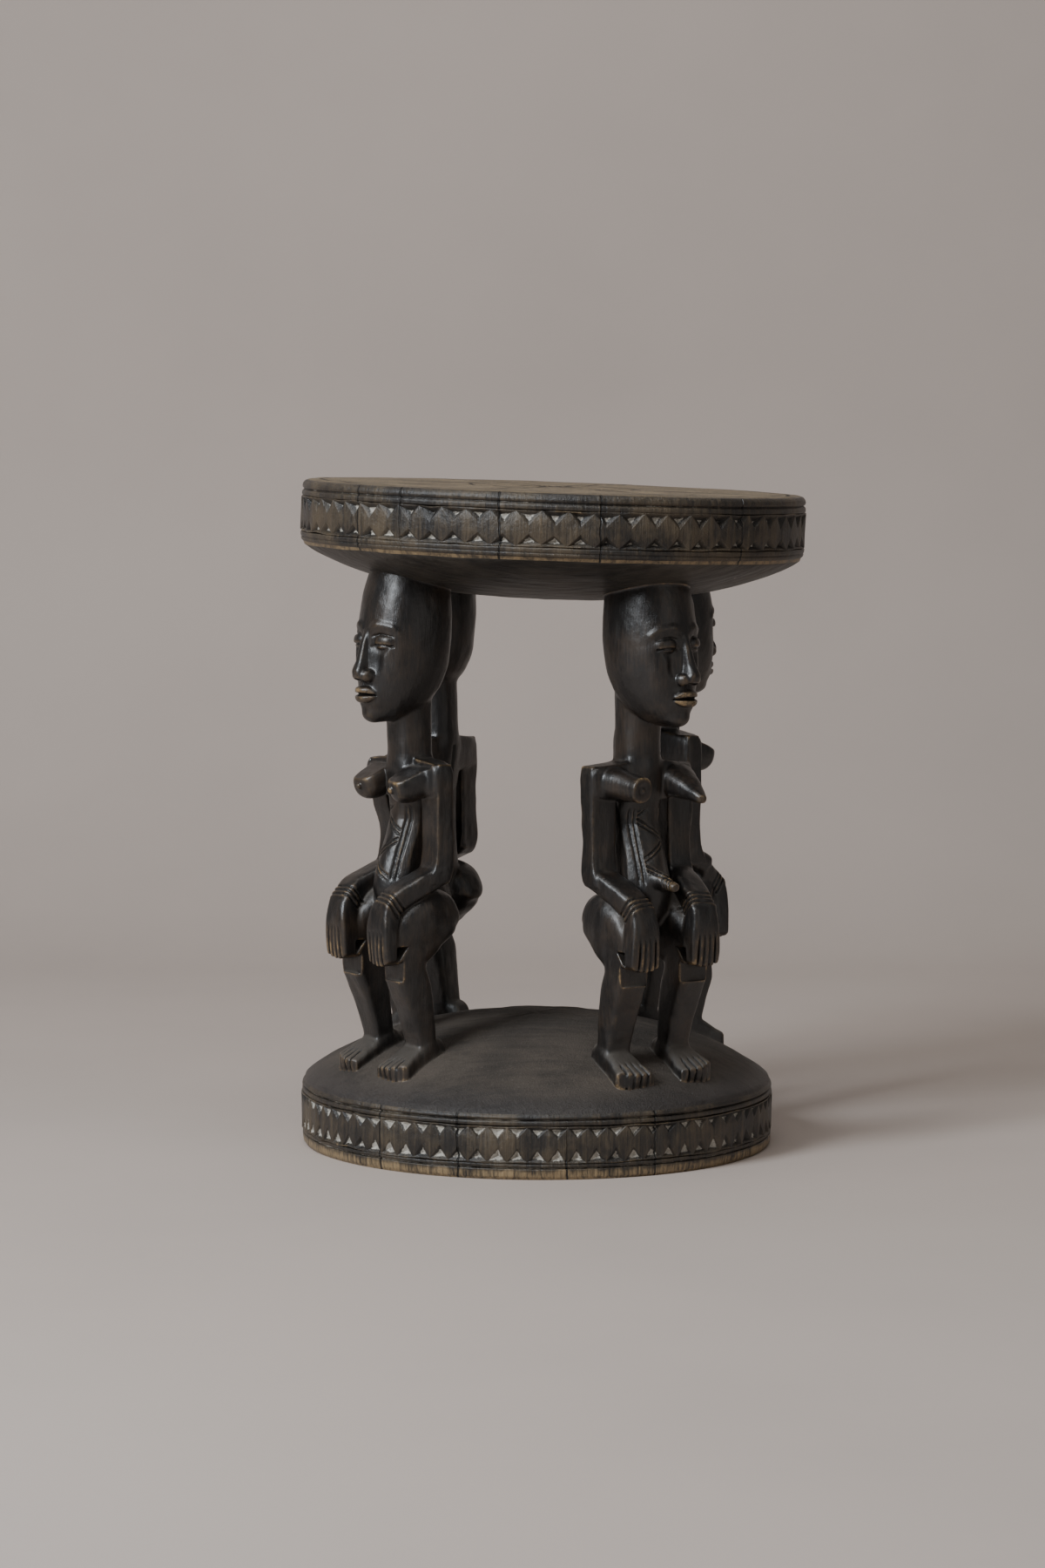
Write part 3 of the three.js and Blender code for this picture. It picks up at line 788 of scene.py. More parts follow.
@dataclass
class Woman:
    """One squatting woman; u forward of the neck axis, v to her left, z up from the floor."""

    name: str
    at: tuple[float, float]
    faces: float
    turn: float
    push: float
    taller: float
    bust: Bust
    reach: float
    navel: float
    lap: float
    drawn: float
    seed: int
    step: float = 0.8
    triangles: int = 150000

    def up(self, z: float) -> float:
        """Stretch a height with the trunk."""
        return float(z + self.taller * ease(190.0, 290.0, np.array(z)))

    def knee(self, u: float) -> float:
        """Draw a reach towards the knee back by the lap."""
        return float(u - self.lap * ease(0.0, 28.0, np.array(u)))

    def carve_trunk(self, block: Block) -> None:
        """Neck, belly, shoulders and back."""
        up = self.up
        block.add(Limb([(3, 0, 176, 15, 14), (7, 0, 189, 22, 18), (8.5, 0, 200, 22, 20.5), (9, 0, 206, 21, 21.5),
                        (8.5, 0, 214, 19.6, 20.3), (6.8, 0, 226, 18.6, 18), (4.4, 0, 240, 18.4, 15.2),
                        (2.2, 0, 254, 18.4, 12.6), (0.8, 0, up(266), 19.5, 11.6), (0, 0, up(278), 23, 11.5),
                        (0, 0, up(291), 25, 11)], 3.4, 3.0))
        # The front is pared to a shallow curve
        front = np.array([(176, 26), (196, 27.6), (204, 29.4), (214, 28.0), (226, 24.2), (240, 18.9), (254, 14.3),
                          (300, 12)], float)
        block.pare((2, -24, 190), (44, 24, up(270)), lambda x, y, z: (
            (x - 0.4 - np.interp(z, front[:, 0], front[:, 1])) + 0.036 * y * y) * 0.9, 0.8)
        block.add(Limb([(16, 0, 178, 3, 5), (17.5, 0, 188, 9, 8.5), (17, 0, 198, 14, 12.5), (14, 0, 207, 17, 14)], 1.8, 1.5),
                  blend=2.0)
        yoke = [(0.5, -47.3, up(284), 7.6, 10), (0.5, -43, up(285), 9.4, 12.6), (0, -30, up(286), 11.5, 14.6),
                (0, 0, up(287), 13.5, 16), (0, 30, up(286), 11.5, 14.6), (0.5, 43, up(285), 9.4, 12.6),
                (0.5, 47.3, up(284), 7.6, 10)]
        block.add(Limb(yoke, 3.6, 2.5, (1.0, 0.0, 0.0)), blend=2.0)
        for sign in (1.0, -1.0):
            # The top of the shoulder slopes off as a shelf
            block.pare((-20, 16 * sign if sign > 0 else -50, up(284)), (24, 50 if sign > 0 else -16, up(306)),
                       lambda x, y, z: (z - up(299.5)) + (y * sign - 18) * 0.12 + 0 * x, 1.0)

    def carve_neck(self, block: Block) -> None:
        """The column of the neck, spreading a little over the shoulders."""
        up = self.up
        block.add(Limb([(0, 0, up(258), 15, 12), (0, 0, up(286), 20, 15.5), (0, 0, up(294), 17.6, 16.3),
                        (0, 0, up(306), 16, 15.4), (1, 0, up(328), 15.8, 16), (4, 0, up(352), 18, 18.6),
                        (4, 0, up(362), 19, 19)], 2.5, 2.0), blend=2.5)

    def carve_bust(self, block: Block) -> None:
        """The breasts, cut differently on each woman."""
        up, r = self.up, self.reach
        if self.bust is Bust.CONE:
            block.add(Limb([(-4, -31, up(285.5), 14, 11.5), (12, -29.5, up(285), 11.5, 10.8), (26, -27.5, up(283), 10.2, 9.8),
                            (39, -25.5, up(281), 9.4, 9.2)], 2.3, 0.8), blend=2.0)
            block.cut(Ball((43.5, -24.9, up(280.6)), (5.6, 7.6, 7.6)), blend=0.6)
            block.add(Ball((37.4, -25.6, up(281.2)), (2.0, 2.2, 2.2)), blend=0.8)
            block.add(Limb([(-4, 31, up(286), 16, 12), (12, 28, up(284.5), 14.5, 11.6), (28, 25, up(280), 10.2, 8.8),
                            (41, 23.5, up(275.5), 6.2, 5.4), (49.5, 23, up(272.5), 3.0, 2.8)], 2.6, 1.5), blend=2.0)
            return
        for sign in (1.0, -1.0):
            if self.bust is Bust.PEAR:
                pear = [(-4, 27, up(286.5), 15, 11.5), (8, 24.5, up(284.5), 14, 12.6), (17, 22.5, up(281.5), 13.6, 13.6),
                        (r - 5, 21.8, up(279), 11.8, 11.6), (r - 1, 21.6, up(278.2), 8.8, 8.8), (r + 1, 21.6, up(278), 5, 5)]
            else:
                pear = [(-4, 25, up(286), 14, 12), (8, 23.5, up(284), 14, 13.6), (18, 22.5, up(281.5), 14.6, 14.4),
                        (r - 6, 22, up(280), 13.4, 13), (r - 1, 21.8, up(279), 9.6, 9.6), (r + 1, 21.8, up(278.8), 5, 5)]
            block.add(Limb(pear, 2.2, 2.5).mirrored(sign), blend=2.5)
            block.add(Ball((r + 0.6, 21.6 * sign, up(277.6)), (3.2, 2.7, 2.9)), blend=0.8)
            block.pare((8, 4 * sign if sign > 0 else -40, up(266)), (r + 8, 40 if sign > 0 else -4, up(304)),
                       lambda x, y, z: (z - up(292.6)) * 0.9 + (x - 12) * 0.42 + 0 * y, 1.2)

    def carve_navel(self, block: Block) -> None:
        """The standing navel, hooked and notched."""
        n = self.navel
        block.add(Limb([(20, 0, 215, 9, 8.5), (27, 0, 212.5, 7.2, 6.8), (31 + n * 0.35, 0, 210.8, 4.9, 4.6),
                        (35 + n, 0, 208.6, 3.4, 3.1)], 2.4, 1.0), blend=4.0)
        for k in range(3):
            block.score((29 + n * 0.4, -9, 198), (46 + n, 9, 222), lambda x, y, z: 1.3 * np.maximum(
                0, 1 - np.abs(x - 30.5 - n * 0.55 - 2.6 * k + (z - 209) * 0.25) / 1.0) + 0 * y)

    def carve_legs(self, block: Block) -> None:
        """Buttocks, thighs, shins and feet."""
        knee = self.knee
        thigh = Limb([(-22, 20.5, 187, 8, 9), (-18, 21, 187.3, 13.6, 13.4), (-12, 21.2, 187.2, 17.2, 16.8), (-3, 22, 186.6, 20, 19),
                      (8, 24.4, 184.4, 20, 19.2), (20, 27, 178.6, 17.4, 17.4), (knee(29), 28, 171.8, 14.8, 15),
                      (knee(36), 28.2, 165.6, 12.8, 12.6), (knee(41), 28.2, 160.2, 10.6, 9)], 2.5, 4.0)
        shin = Limb([(knee(26), 28.2, 176, 10.5, 10), (knee(27.5), 28.2, 166, 12.6, 12.2), (knee(28), 28.2, 155, 13.2, 13.4),
                     (knee(25.5), 28.2, 146, 13.2, 14.8), (knee(20.2), 28.2, 134, 12.9, 13.8), (15.6, 28, 118, 12.3, 11.8),
                     (11.6, 28, 101, 11.4, 9.6), (9, 28, 87, 10.8, 8.5), (8, 28, 76, 11, 8.8), (8, 28, 62, 11.6, 9.4)],
                    4.6, 2.0, (0.0, 1.0, 0.0), (0.0, 0.0, 1.0))
        foot = Limb([(-9.5, 27.8, 82, 7.0, 8), (-4, 28, 82.5, 9.8, 10), (6, 28.1, 80.5, 11.4, 10.8), (16, 28.4, 76.5, 12.6, 9.6),
                     (26, 28.8, 72, 14.6, 8), (34, 29.2, 68.6, 16.2, 7), (40, 29.4, 66.2, 16.4, 6.3)], 3.6, 1.6,
                    (0.0, 1.0, 0.0), (1.0, 0.0, -0.33))
        flesh = Limb([(-10, 22.5, 179, 16, 12), (-3, 24, 174.5, 17, 14.5), (7, 26.2, 167, 16.4, 14.6),
                      (knee(16), 28, 158, 13.8, 13), (knee(21), 28, 149, 12.4, 11.5)], 2.4, 4.0)
        for sign in (1.0, -1.0):
            block.add(thigh.mirrored(sign), blend=3.0)
            block.add(flesh.mirrored(sign), blend=6.0)
            block.add(shin.mirrored(sign), blend=2.5)
            block.add(foot.mirrored(sign), blend=2.0)
            low, high = 28.0 * sign - 18.0, 28.0 * sign + 18.0
            # The knee is trimmed to a slanting facet, the shin to a flat front
            block.pare((knee(28), low, 138), (knee(54), high, 162), lambda x, y, z: (
                (x - knee(41.6)) * 0.80 + (z - 146.5) * 0.60 + 0 * y), 0.7)
            block.pare((-2, low, 92), (knee(50), high, 143), lambda x, y, z: (
                (x - np.interp(z, (92, 118, 143), (18.6, 26.8, knee(39.8)))) * 0.95 + 0 * y), 0.7)
            block.score((25.5, low, 52), (44, high, 84), lambda x, y, z: 2.5 * ease(26.5, 31.5, x) * np.max([
                np.maximum(0, 1 - np.abs(y * sign - 29.3 - k * (5.5 + (x - 38) * 0.07)) / 1.25)
                for k in (-1.75, -0.6, 0.5, 1.55)], axis=0) + 0 * z)
            # Toes end in an uneven row
            block.pare((30, low, 50), (48, high, 84), lambda x, y, z: (
                x - 41.5 + 0.055 * (y * sign - 24.5) ** 2 * 0.35 + 0 * z
                + 0.9 * np.abs(((y * sign - 29.3) / 6.2 + 0.3) % 1.0 - 0.5) * 2.0), 1.0)

    def carve_arm(self, block: Block, sign: float) -> None:
        """One arm, from the shoulder to the fingertips on the knee."""
        up, knee = self.up, self.knee
        drawn = self.drawn if sign < 0 else 0.0
        thin = drawn * 0.25
        upper = [(-0.4, 36.2, up(297), 10.6, 6.2), (0, 36.2, up(285), 11.3, 7.4),
                 (-drawn * 0.5, 36.2 - drawn * 0.5, up(262), 11.3 - thin, 7.4), (-0.4 - drawn, 36 - drawn, 240, 11.0 - thin, 7.4),
                 (-0.2 - drawn, 36 - drawn, 226, 11.2 - thin, 8.0), (1.4 - drawn, 35.8 - drawn, 216.5, 11.4 - thin, 8.8),
                 (4.5 - drawn, 35.6 - drawn, 208.5, 11 - thin, 8.6)]
        lower = [(-5.4 - drawn, 36 - drawn, 218.5, 10.8, 6.4), (3 - drawn, 35.8 - drawn, 214.0, 11.3, 8.2),
                 (14 - drawn * 0.6, 34 - drawn * 0.6, 208.6, 11.4, 8.3), (knee(26), 31.4, 202.0, 11.0, 8.2),
                 (knee(36), 29.2, 195.2, 10.9, 8.2), (knee(43.5), 28, 188.5, 11.2, 7.6)]
        hand = [(knee(36.5), 28.6, 198, 10.6, 5.2), (knee(40), 28.4, 191.5, 11.3, 7.8), (knee(42), 28.2, 182, 12.2, 7.9),
                (knee(43.2), 28, 171, 13.3, 7.0), (knee(43.6), 28, 160, 13.6, 6.2), (knee(43.0), 28, 150, 13.0, 5.4),
                (knee(42.6), 28, 146, 12.4, 4.9)]
        block.add(Limb(upper, 10.0, 1.0, (0.0, 1.0, 0.0), (0.0, 0.0, 1.0)).mirrored(sign), blend=1.0)
        block.add(Limb(lower, 4.2, 2.5).mirrored(sign), blend=1.6)
        block.add(Limb(hand, 5.0, 1.2, (0.0, 1.0, 0.0), (0.0, 0.0, 1.0)).mirrored(sign), blend=1.6)
        low, high = (11.0, 45.0) if sign > 0 else (-45.0, -11.0)
        fan = lambda y, z: (y * sign - 28.0) / (1.0 - 0.0045 * (z - 150.0))
        block.score((knee(40), low, 140), (knee(62), high, 178), lambda x, y, z: 2.6 * ease(176.0, 169.0, z) * np.max([
            np.maximum(0, 1 - np.abs(fan(y, z) - k * 5.3) / 1.25) for k in (-1.5, -0.5, 0.5, 1.5)], axis=0) + 0 * x)
        block.pare((knee(34), low, 138), (knee(62), high, 158), lambda x, y, z: (
            148.4 - z + 0.018 * (y * sign - 28.0) ** 2
            + 1.1 * np.abs(((y * sign - 28.0) / 5.3 + 0.5) % 1.0 - 0.5) * 2.0 + 0 * x), 0.8)
        # Three bracelet lines round the wrist
        path = np.array([0.80, -0.12 * sign, -0.59])
        wrist = np.array([knee(36.5), 28.8 * sign, 192.5])
        block.score(wrist - 22, wrist + 22, lambda x, y, z: 1.5 * np.max([
            np.maximum(0, 1 - np.abs((x - wrist[0]) * path[0] + (y - wrist[1]) * path[1]
                                     + (z - wrist[2]) * path[2] - s) / 1.05) for s in (-3.7, 0.0, 3.7)], axis=0)
            * ((z - wrist[2]) * 0.8 + (x - wrist[0]) * 0.6 > -6.5))

    def carve_head(self, block: Block) -> None:
        """An egg of a head whose crown meets the top, with a calm, general face on it.

        The face is laid out by rule: the eyes half way up the head, the base of the nose half way
        from there to the chin and the mouth a third of the way below it.
        """
        chin = self.up(328.0)
        tall = CROWN - chin

        def level(t: float) -> float:
            return chin + tall * t

        rows = [(u, 0.0, level(t), w, d) for t, u, w, d in (
            (-0.01, 14.5, 7, 8), (0.04, 12.6, 14, 16.6), (0.11, 8.4, 21, 24.4), (0.22, 4.4, 27.4, 30.4),
            (0.36, 1.9, 31.2, 33.6), (0.54, 0.2, 32.2, 34.2), (0.72, -1.5, 30.8, 32.6), (0.87, -3, 27.8, 29.2),
            (1.02, -4.6, 23.6, 24.4))]
        eye, nose, mouth = level(0.5), level(0.25), level(0.165)
        low, high = np.array([-45.0, -42.0, chin - 8]), np.array([64.0, 42.0, CROWN + 6])
        head = Block(low, high, self.step)
        head.add(Limb(rows, 2.3, 5.0, (0.0, 1.0, 0.0), (0.0, 0.0, 1.0)), blend=0.0)
        head.add(Ball((24, 0, mouth - 1), (13.5, 14.5, 14)), blend=5.0)
        head.add(Ball((25.5, 0, level(0.045)), (10, 9.5, 7.0)), blend=4.0)
        for sign in (1, -1):
            # The orbit and the plane that falls from it beside the nose
            head.cut(Ball((45.5, 17.0 * sign, eye - 3), (17.5, 15.0, 14.5), (0, 8, 0)), blend=2.0)
            head.cut(Ball((44.5, 13.0 * sign, eye - 14), (13.5, 7.5, 18)), blend=3.5)
            head.add(Limb([(31.5, 3.0 * sign, eye + 9.5, 3.2, 3.0), (30.5, 12.0 * sign, eye + 11.5, 2.8, 3.0),
                           (25.5, 21.0 * sign, eye + 9.5, 2.4, 2.6), (20.5, 26.5 * sign, eye + 5.0, 1.8, 2.0)],
                          2.0, 1.5, (0.0, 0.0, 1.0)), blend=2.2)
            head.add(Ball((25.6, 14.8 * sign, eye - 1.0), (7.6, 9.6, 7.0), (0, 0, 20 * sign)), blend=0.6)
            head.score((18, 2 if sign > 0 else -28, eye - 12), (44, 28 if sign > 0 else -2, eye + 6),
                       lambda x, y, z: 1.9 * np.maximum(0, 1 - np.abs(
                           z - (eye - 3.4) + 0.016 * (y * sign - 14.8) ** 2) / 1.0)
                       * ease(9.6, 7.6, np.abs(y * sign - 14.8)) + 0 * x)
            head.score((18, 2 if sign > 0 else -28, eye - 4), (44, 28 if sign > 0 else -2, eye + 10),
                       lambda x, y, z: 1.0 * np.maximum(0, 1 - np.abs(
                           z - (eye + 4.2) + 0.022 * (y * sign - 14.8) ** 2) / 1.0)
                       * ease(9.6, 7.6, np.abs(y * sign - 14.8)) + 0 * x)
        head.add(Limb([(29.5, 0, eye + 9, 4.2, 4.4), (33.0, 0, eye, 3.5, 4.6), (36.6, 0, nose + 15, 4.2, 5.4),
                       (39.6, 0, nose + 6.5, 5.6, 6.2), (39.0, 0, nose + 1.5, 6.2, 5.4)], 3.0, 1.5, (0.0, 1.0, 0.0),
                      (0.0, 0.0, 1.0)), blend=1.2)
        for sign in (1, -1):
            head.add(Ball((36.6, 6.6 * sign, nose + 3.8), (6.2, 4.2, 4.6), (0, 0, -12 * sign)), blend=1.2)
            head.cut(Ball((39.5, 4.3 * sign, nose - 0.6), (3.6, 2.1, 2.6)), blend=0.6)
        head.score((30, -4, mouth + 5), (46, 4, nose - 1), lambda x, y, z: 0.9 * np.maximum(0, 1 - np.abs(y) / 1.8)
                   + 0 * x + 0 * z)
        for way in (1, -1):
            lip = [(32.5, -12.2, mouth + 0.6 * way, 1.6, 2.4), (36.2, -6.5, mouth + 2.7 * way, 3.1, 4.0),
                   (38.0, 0.0, mouth + (2.9 if way > 0 else -3.4), 3.2, 4.6), (36.2, 6.5, mouth + 2.7 * way, 3.1, 4.0),
                   (32.5, 12.2, mouth + 0.6 * way, 1.6, 2.4)]
            head.add(Limb(lip, 2.2, 1.2, (0.0, 0.0, 1.0), (0.0, 1.0, 0.0)), blend=0.7)
        head.score((26, -14, mouth - 4), (48, 14, mouth + 4), lambda x, y, z: 2.2 * np.maximum(
            0, 1 - np.abs(z - mouth - 0.3 + 0.005 * y * y) / 1.15) * ease(12.6, 10.4, np.abs(y)) + 0 * x)
        c, s = math.cos(math.radians(self.turn)), math.sin(math.radians(self.turn))
        cuts, (x, y, z) = block.window((-55, -48, chin - 5), (66, 48, CROWN + 5), 0.0)
        dx = x - self.push
        points = np.stack(np.broadcast_arrays(dx * c + y * s, y * c - dx * s, z), -1)
        flat = points.reshape(-1, 3)
        inside = np.all((flat > low + 1) & (flat < high - 1), axis=1)
        value = np.full(len(flat), 20.0, np.float32)
        value[inside] = head.sample(flat[inside])
        block.field[cuts] = smooth_min(block.field[cuts], value.reshape(points.shape[:3]), 2.5)

    def score_body(self, block: Block) -> None:
        """The scar lines on the belly and the furrows of the back."""
        top, pitch = self.up(266.0), 17.0

        def lines(x: np.ndarray, y: np.ndarray, z: np.ndarray) -> np.ndarray:
            made = np.zeros(np.broadcast(x, y, z).shape, np.float32)
            for at in (10.6, 13.4):
                made = np.maximum(made, 1 - np.abs(np.abs(y) - at + (z - 240) * 0.015) / 1.15)
            row = np.floor((z - 208.0) / pitch)
            slant = np.where(row % 2 > 0, 1.0, -1.0)
            for shift in (-2.2, 1.2):
                line = (z - 208.0) - row * pitch - pitch * 0.5 - shift - slant * y * 0.66
                made = np.maximum(made, (1 - np.abs(line) / 1.15) * (np.abs(y) < 9.2))
            return np.clip(made, 0, 1) * 1.9 * ease(208.0, 213.0, z) * ease(top, top - 4, z)

        block.score((4, -16, 206), (40, 16, top), lines)
        block.score((-30, -4, 215), (-2, 4, self.up(292)), lambda x, y, z: 1.5 * np.maximum(0, 1 - np.abs(y) / 2.8)
                    + 0 * x + 0 * z)
        block.score((-40, -4, 168), (-6, 4, 206), lambda x, y, z: 3.2 * np.maximum(0, 1 - np.abs(y) / 2.8) + 0 * x + 0 * z)

    def build(self) -> bpy.types.Object:
        """Carve the figure and return it in the table's frame."""
        block = Block((-44, -58, 52), (66, 58, 446), self.step)
        self.carve_trunk(block)
        self.carve_bust(block)
        self.carve_neck(block)
        if self.navel:
            self.carve_navel(block)
        self.score_body(block)
        self.carve_legs(block)
        self.carve_arm(block, 1.0)
        self.carve_arm(block, -1.0)
        self.carve_head(block)
        turn = math.radians(self.faces - 90.0)
        x, y = block.axes[0][:, None], block.axes[1][None, :]
        wx = self.at[0] + x * math.cos(turn) - y * math.sin(turn)
        wy = self.at[1] + x * math.sin(turn) + y * math.cos(turn)
        z = block.axes[2][None, None, :]
        shape = block.field.shape
        cell = 13.0 / self.step
        block.field += 0.55 * lumps(shape, (cell, cell, cell * 1.6), self.seed)
        block.field += 0.2 * lumps(shape, (cell * 0.4, cell * 0.4, cell * 0.7), self.seed + 1)
        wear, shade = block.bent(2), block.bent(5, 1)
        floor = (z - dome_height(np.hypot(wx, wy))[:, :, None] + 1.2) * 0.94
        under = (bowl_height(wx, wy)[:, :, None] - z + 1.2) * 0.94
        for face, fillet in ((floor, 2.6), (under, 3.0)):
            block.field = smooth_min(block.field, face.astype(np.float32), fillet)
        near = block.bent(3)
        points, quads = block.skin()
        obj = make_mesh(self.name, points * MM, quads)
        thin = obj.modifiers.new("thin", "DECIMATE")
        thin.ratio = min(1.0, self.triangles / (2.0 * len(quads)))
        baked(obj)
        mesh = obj.data
        mesh.polygons.foreach_set("use_smooth", np.ones(len(mesh.polygons), bool))
        local, normal = points_of(mesh) / MM, normals_of(mesh)
        put_attribute(mesh, "worn", np.clip(block.sample(local, wear) * 3.2, 0, 1))
        # The hollow mask drives both the settled dust and the painted shade in the hollows
        put_attribute(mesh, "hollow", np.clip(-block.sample(local, near) * 2.2 - 0.8 * block.sample(local, shade), 0, 1))
        # Mask for the painted shade in the scored lines
        put_attribute(mesh, "ink", block.sample(local, block.ink))
        put_attribute(mesh, "level", np.clip(normal[:, 2], 0, 1))
        spin = Matrix.Translation((self.at[0] * MM, self.at[1] * MM, 0)) @ Matrix.Rotation(turn, 4, "Z")
        mesh.transform(spin)
        return obj


# ---- the two discs


@dataclass
class Disc:
    """A round slab turned from a profile, with the wobble of hand work."""

    name: str
    radius: float
    profile: Sequence[tuple[float, float, float, int]]
    seed: int
    around: int = 384
    closed_top: bool = True

    def build(self, shift: Matrix) -> bpy.types.Object:
        """Turn the profile.

        Args:
            shift: where the disc goes, in millimetres.

        Returns:
            The disc, with its face numbers as material slots.
        """
        rows = np.array(self.profile, float)
        n, m = self.around, len(rows)
        angle = 2 * math.pi * np.arange(n) / n
        rng = np.random.default_rng(self.seed)
        wave = sum(rng.uniform(-1, 1) * np.cos(k * angle + rng.uniform(0, 6.3)) / k for k in range(2, 9))
        wobble = lumps((n, m, 1), (9.0, 7.0, 1.0), self.seed)[:, :, 0]
        ends = ease(0, 24, np.arange(n)) * ease(n, n - 24, np.arange(n))
        wobble *= ends[:, None]
        r = rows[None, :, 0] * (1 + 0.0022 * wave[:, None] * (rows[None, :, 0] / self.radius) ** 2)
        r = r + 0.28 * wobble * (rows[None, :, 2])
        z = rows[None, :, 1] + 0.5 * np.roll(wobble, 40, axis=0) * (1 - rows[None, :, 2]) * (rows[None, :, 0] > 3)
        points = np.stack([r * np.cos(angle)[:, None], r * np.sin(angle)[:, None], z + 0 * r], -1).reshape(-1, 3)
        i, j = np.meshgrid(np.arange(n), np.arange(m - 1), indexing="ij")
        a, b = i * m + j, ((i + 1) % n) * m + j
        faces = np.stack([a, b, b + 1, a + 1], -1).reshape(-1, 4)
        slots = np.broadcast_to(rows[None, :-1, 3], (n, m - 1)).ravel().astype(int)
        obj = make_mesh(self.name, points * MM, faces[:, ::-1])
        obj.data.polygons.foreach_set("material_index", slots.astype(np.int32))
        for ring in (0, m - 1):
            mesh = obj.data
            centre = len(mesh.vertices)
            mesh.vertices.add(1)
            mesh.vertices[centre].co = (0, 0, rows[ring, 1] * MM)
        obj.data.update()
        obj = self._cap(obj, n, m, rows)
        mesh = obj.data
        edge = np.gradient(np.gradient(rows[:, 0]))
        put_attribute(mesh, "worn", np.concatenate([np.tile(np.clip(-edge * 1.4 + 0.12, 0, 1), n), [0, 0]]))
        # How deep each ring of the profile lies, for the residue and the painted shade in the grooves
        put_attribute(mesh, "depth", np.concatenate([np.tile(np.clip(edge * 1.1, 0, 0.75), n), [0, 0]]))
        mesh.transform(Matrix.Scale(MM, 4) @ shift @ Matrix.Scale(1 / MM, 4))
        return obj

    def _cap(self, obj: bpy.types.Object, n: int, m: int, rows: np.ndarray) -> bpy.types.Object:
        """Close both ends round their middle points."""
        mesh = obj.data
        points = points_of(mesh)
        quads = np.empty(len(mesh.polygons) * 4, np.int32)
        mesh.polygons.foreach_get("vertices", quads)
        quads = quads.reshape(-1, 4)
        slot = np.empty(len(mesh.polygons), np.int32)
        mesh.polygons.foreach_get("material_index", slot)
        faces = [list(map(int, q)) for q in quads]
        last = len(points)
        for ring, centre, flip in ((0, last - 2, False), (m - 1, last - 1, True)):
            for k in range(n):
                a, b = k * m + ring, ((k + 1) % n) * m + ring
                faces.append([a, b, centre] if not flip else [b, a, centre])
        made = bpy.data.meshes.new(self.name)
        made.from_pydata(points.tolist(), [], faces)
        slots = np.concatenate([slot, np.full(n, int(rows[0, 3])), np.full(n, int(rows[-1, 3]))])
        made.polygons.foreach_set("material_index", slots.astype(np.int32))
        made.polygons.foreach_set("use_smooth", np.ones(len(made.polygons), bool))
        made.update()
        old, obj.data = obj.data, made
        bpy.data.meshes.remove(old)
        return obj


def filled(points: Sequence[tuple[float, float]], most: float) -> list[tuple[float, float]]:
    """The same profile with extra points so that no step is longer than most."""
    made = [points[0]]
    for (r0, z0), (r1, z1) in zip(points, points[1:]):
        count = max(1, int(math.ceil(math.hypot(r1 - r0, z1 - z0) / most)))
        made += [(r0 + (r1 - r0) * k / count, z0 + (z1 - z0) * k / count) for k in range(1, count + 1)]
    return made


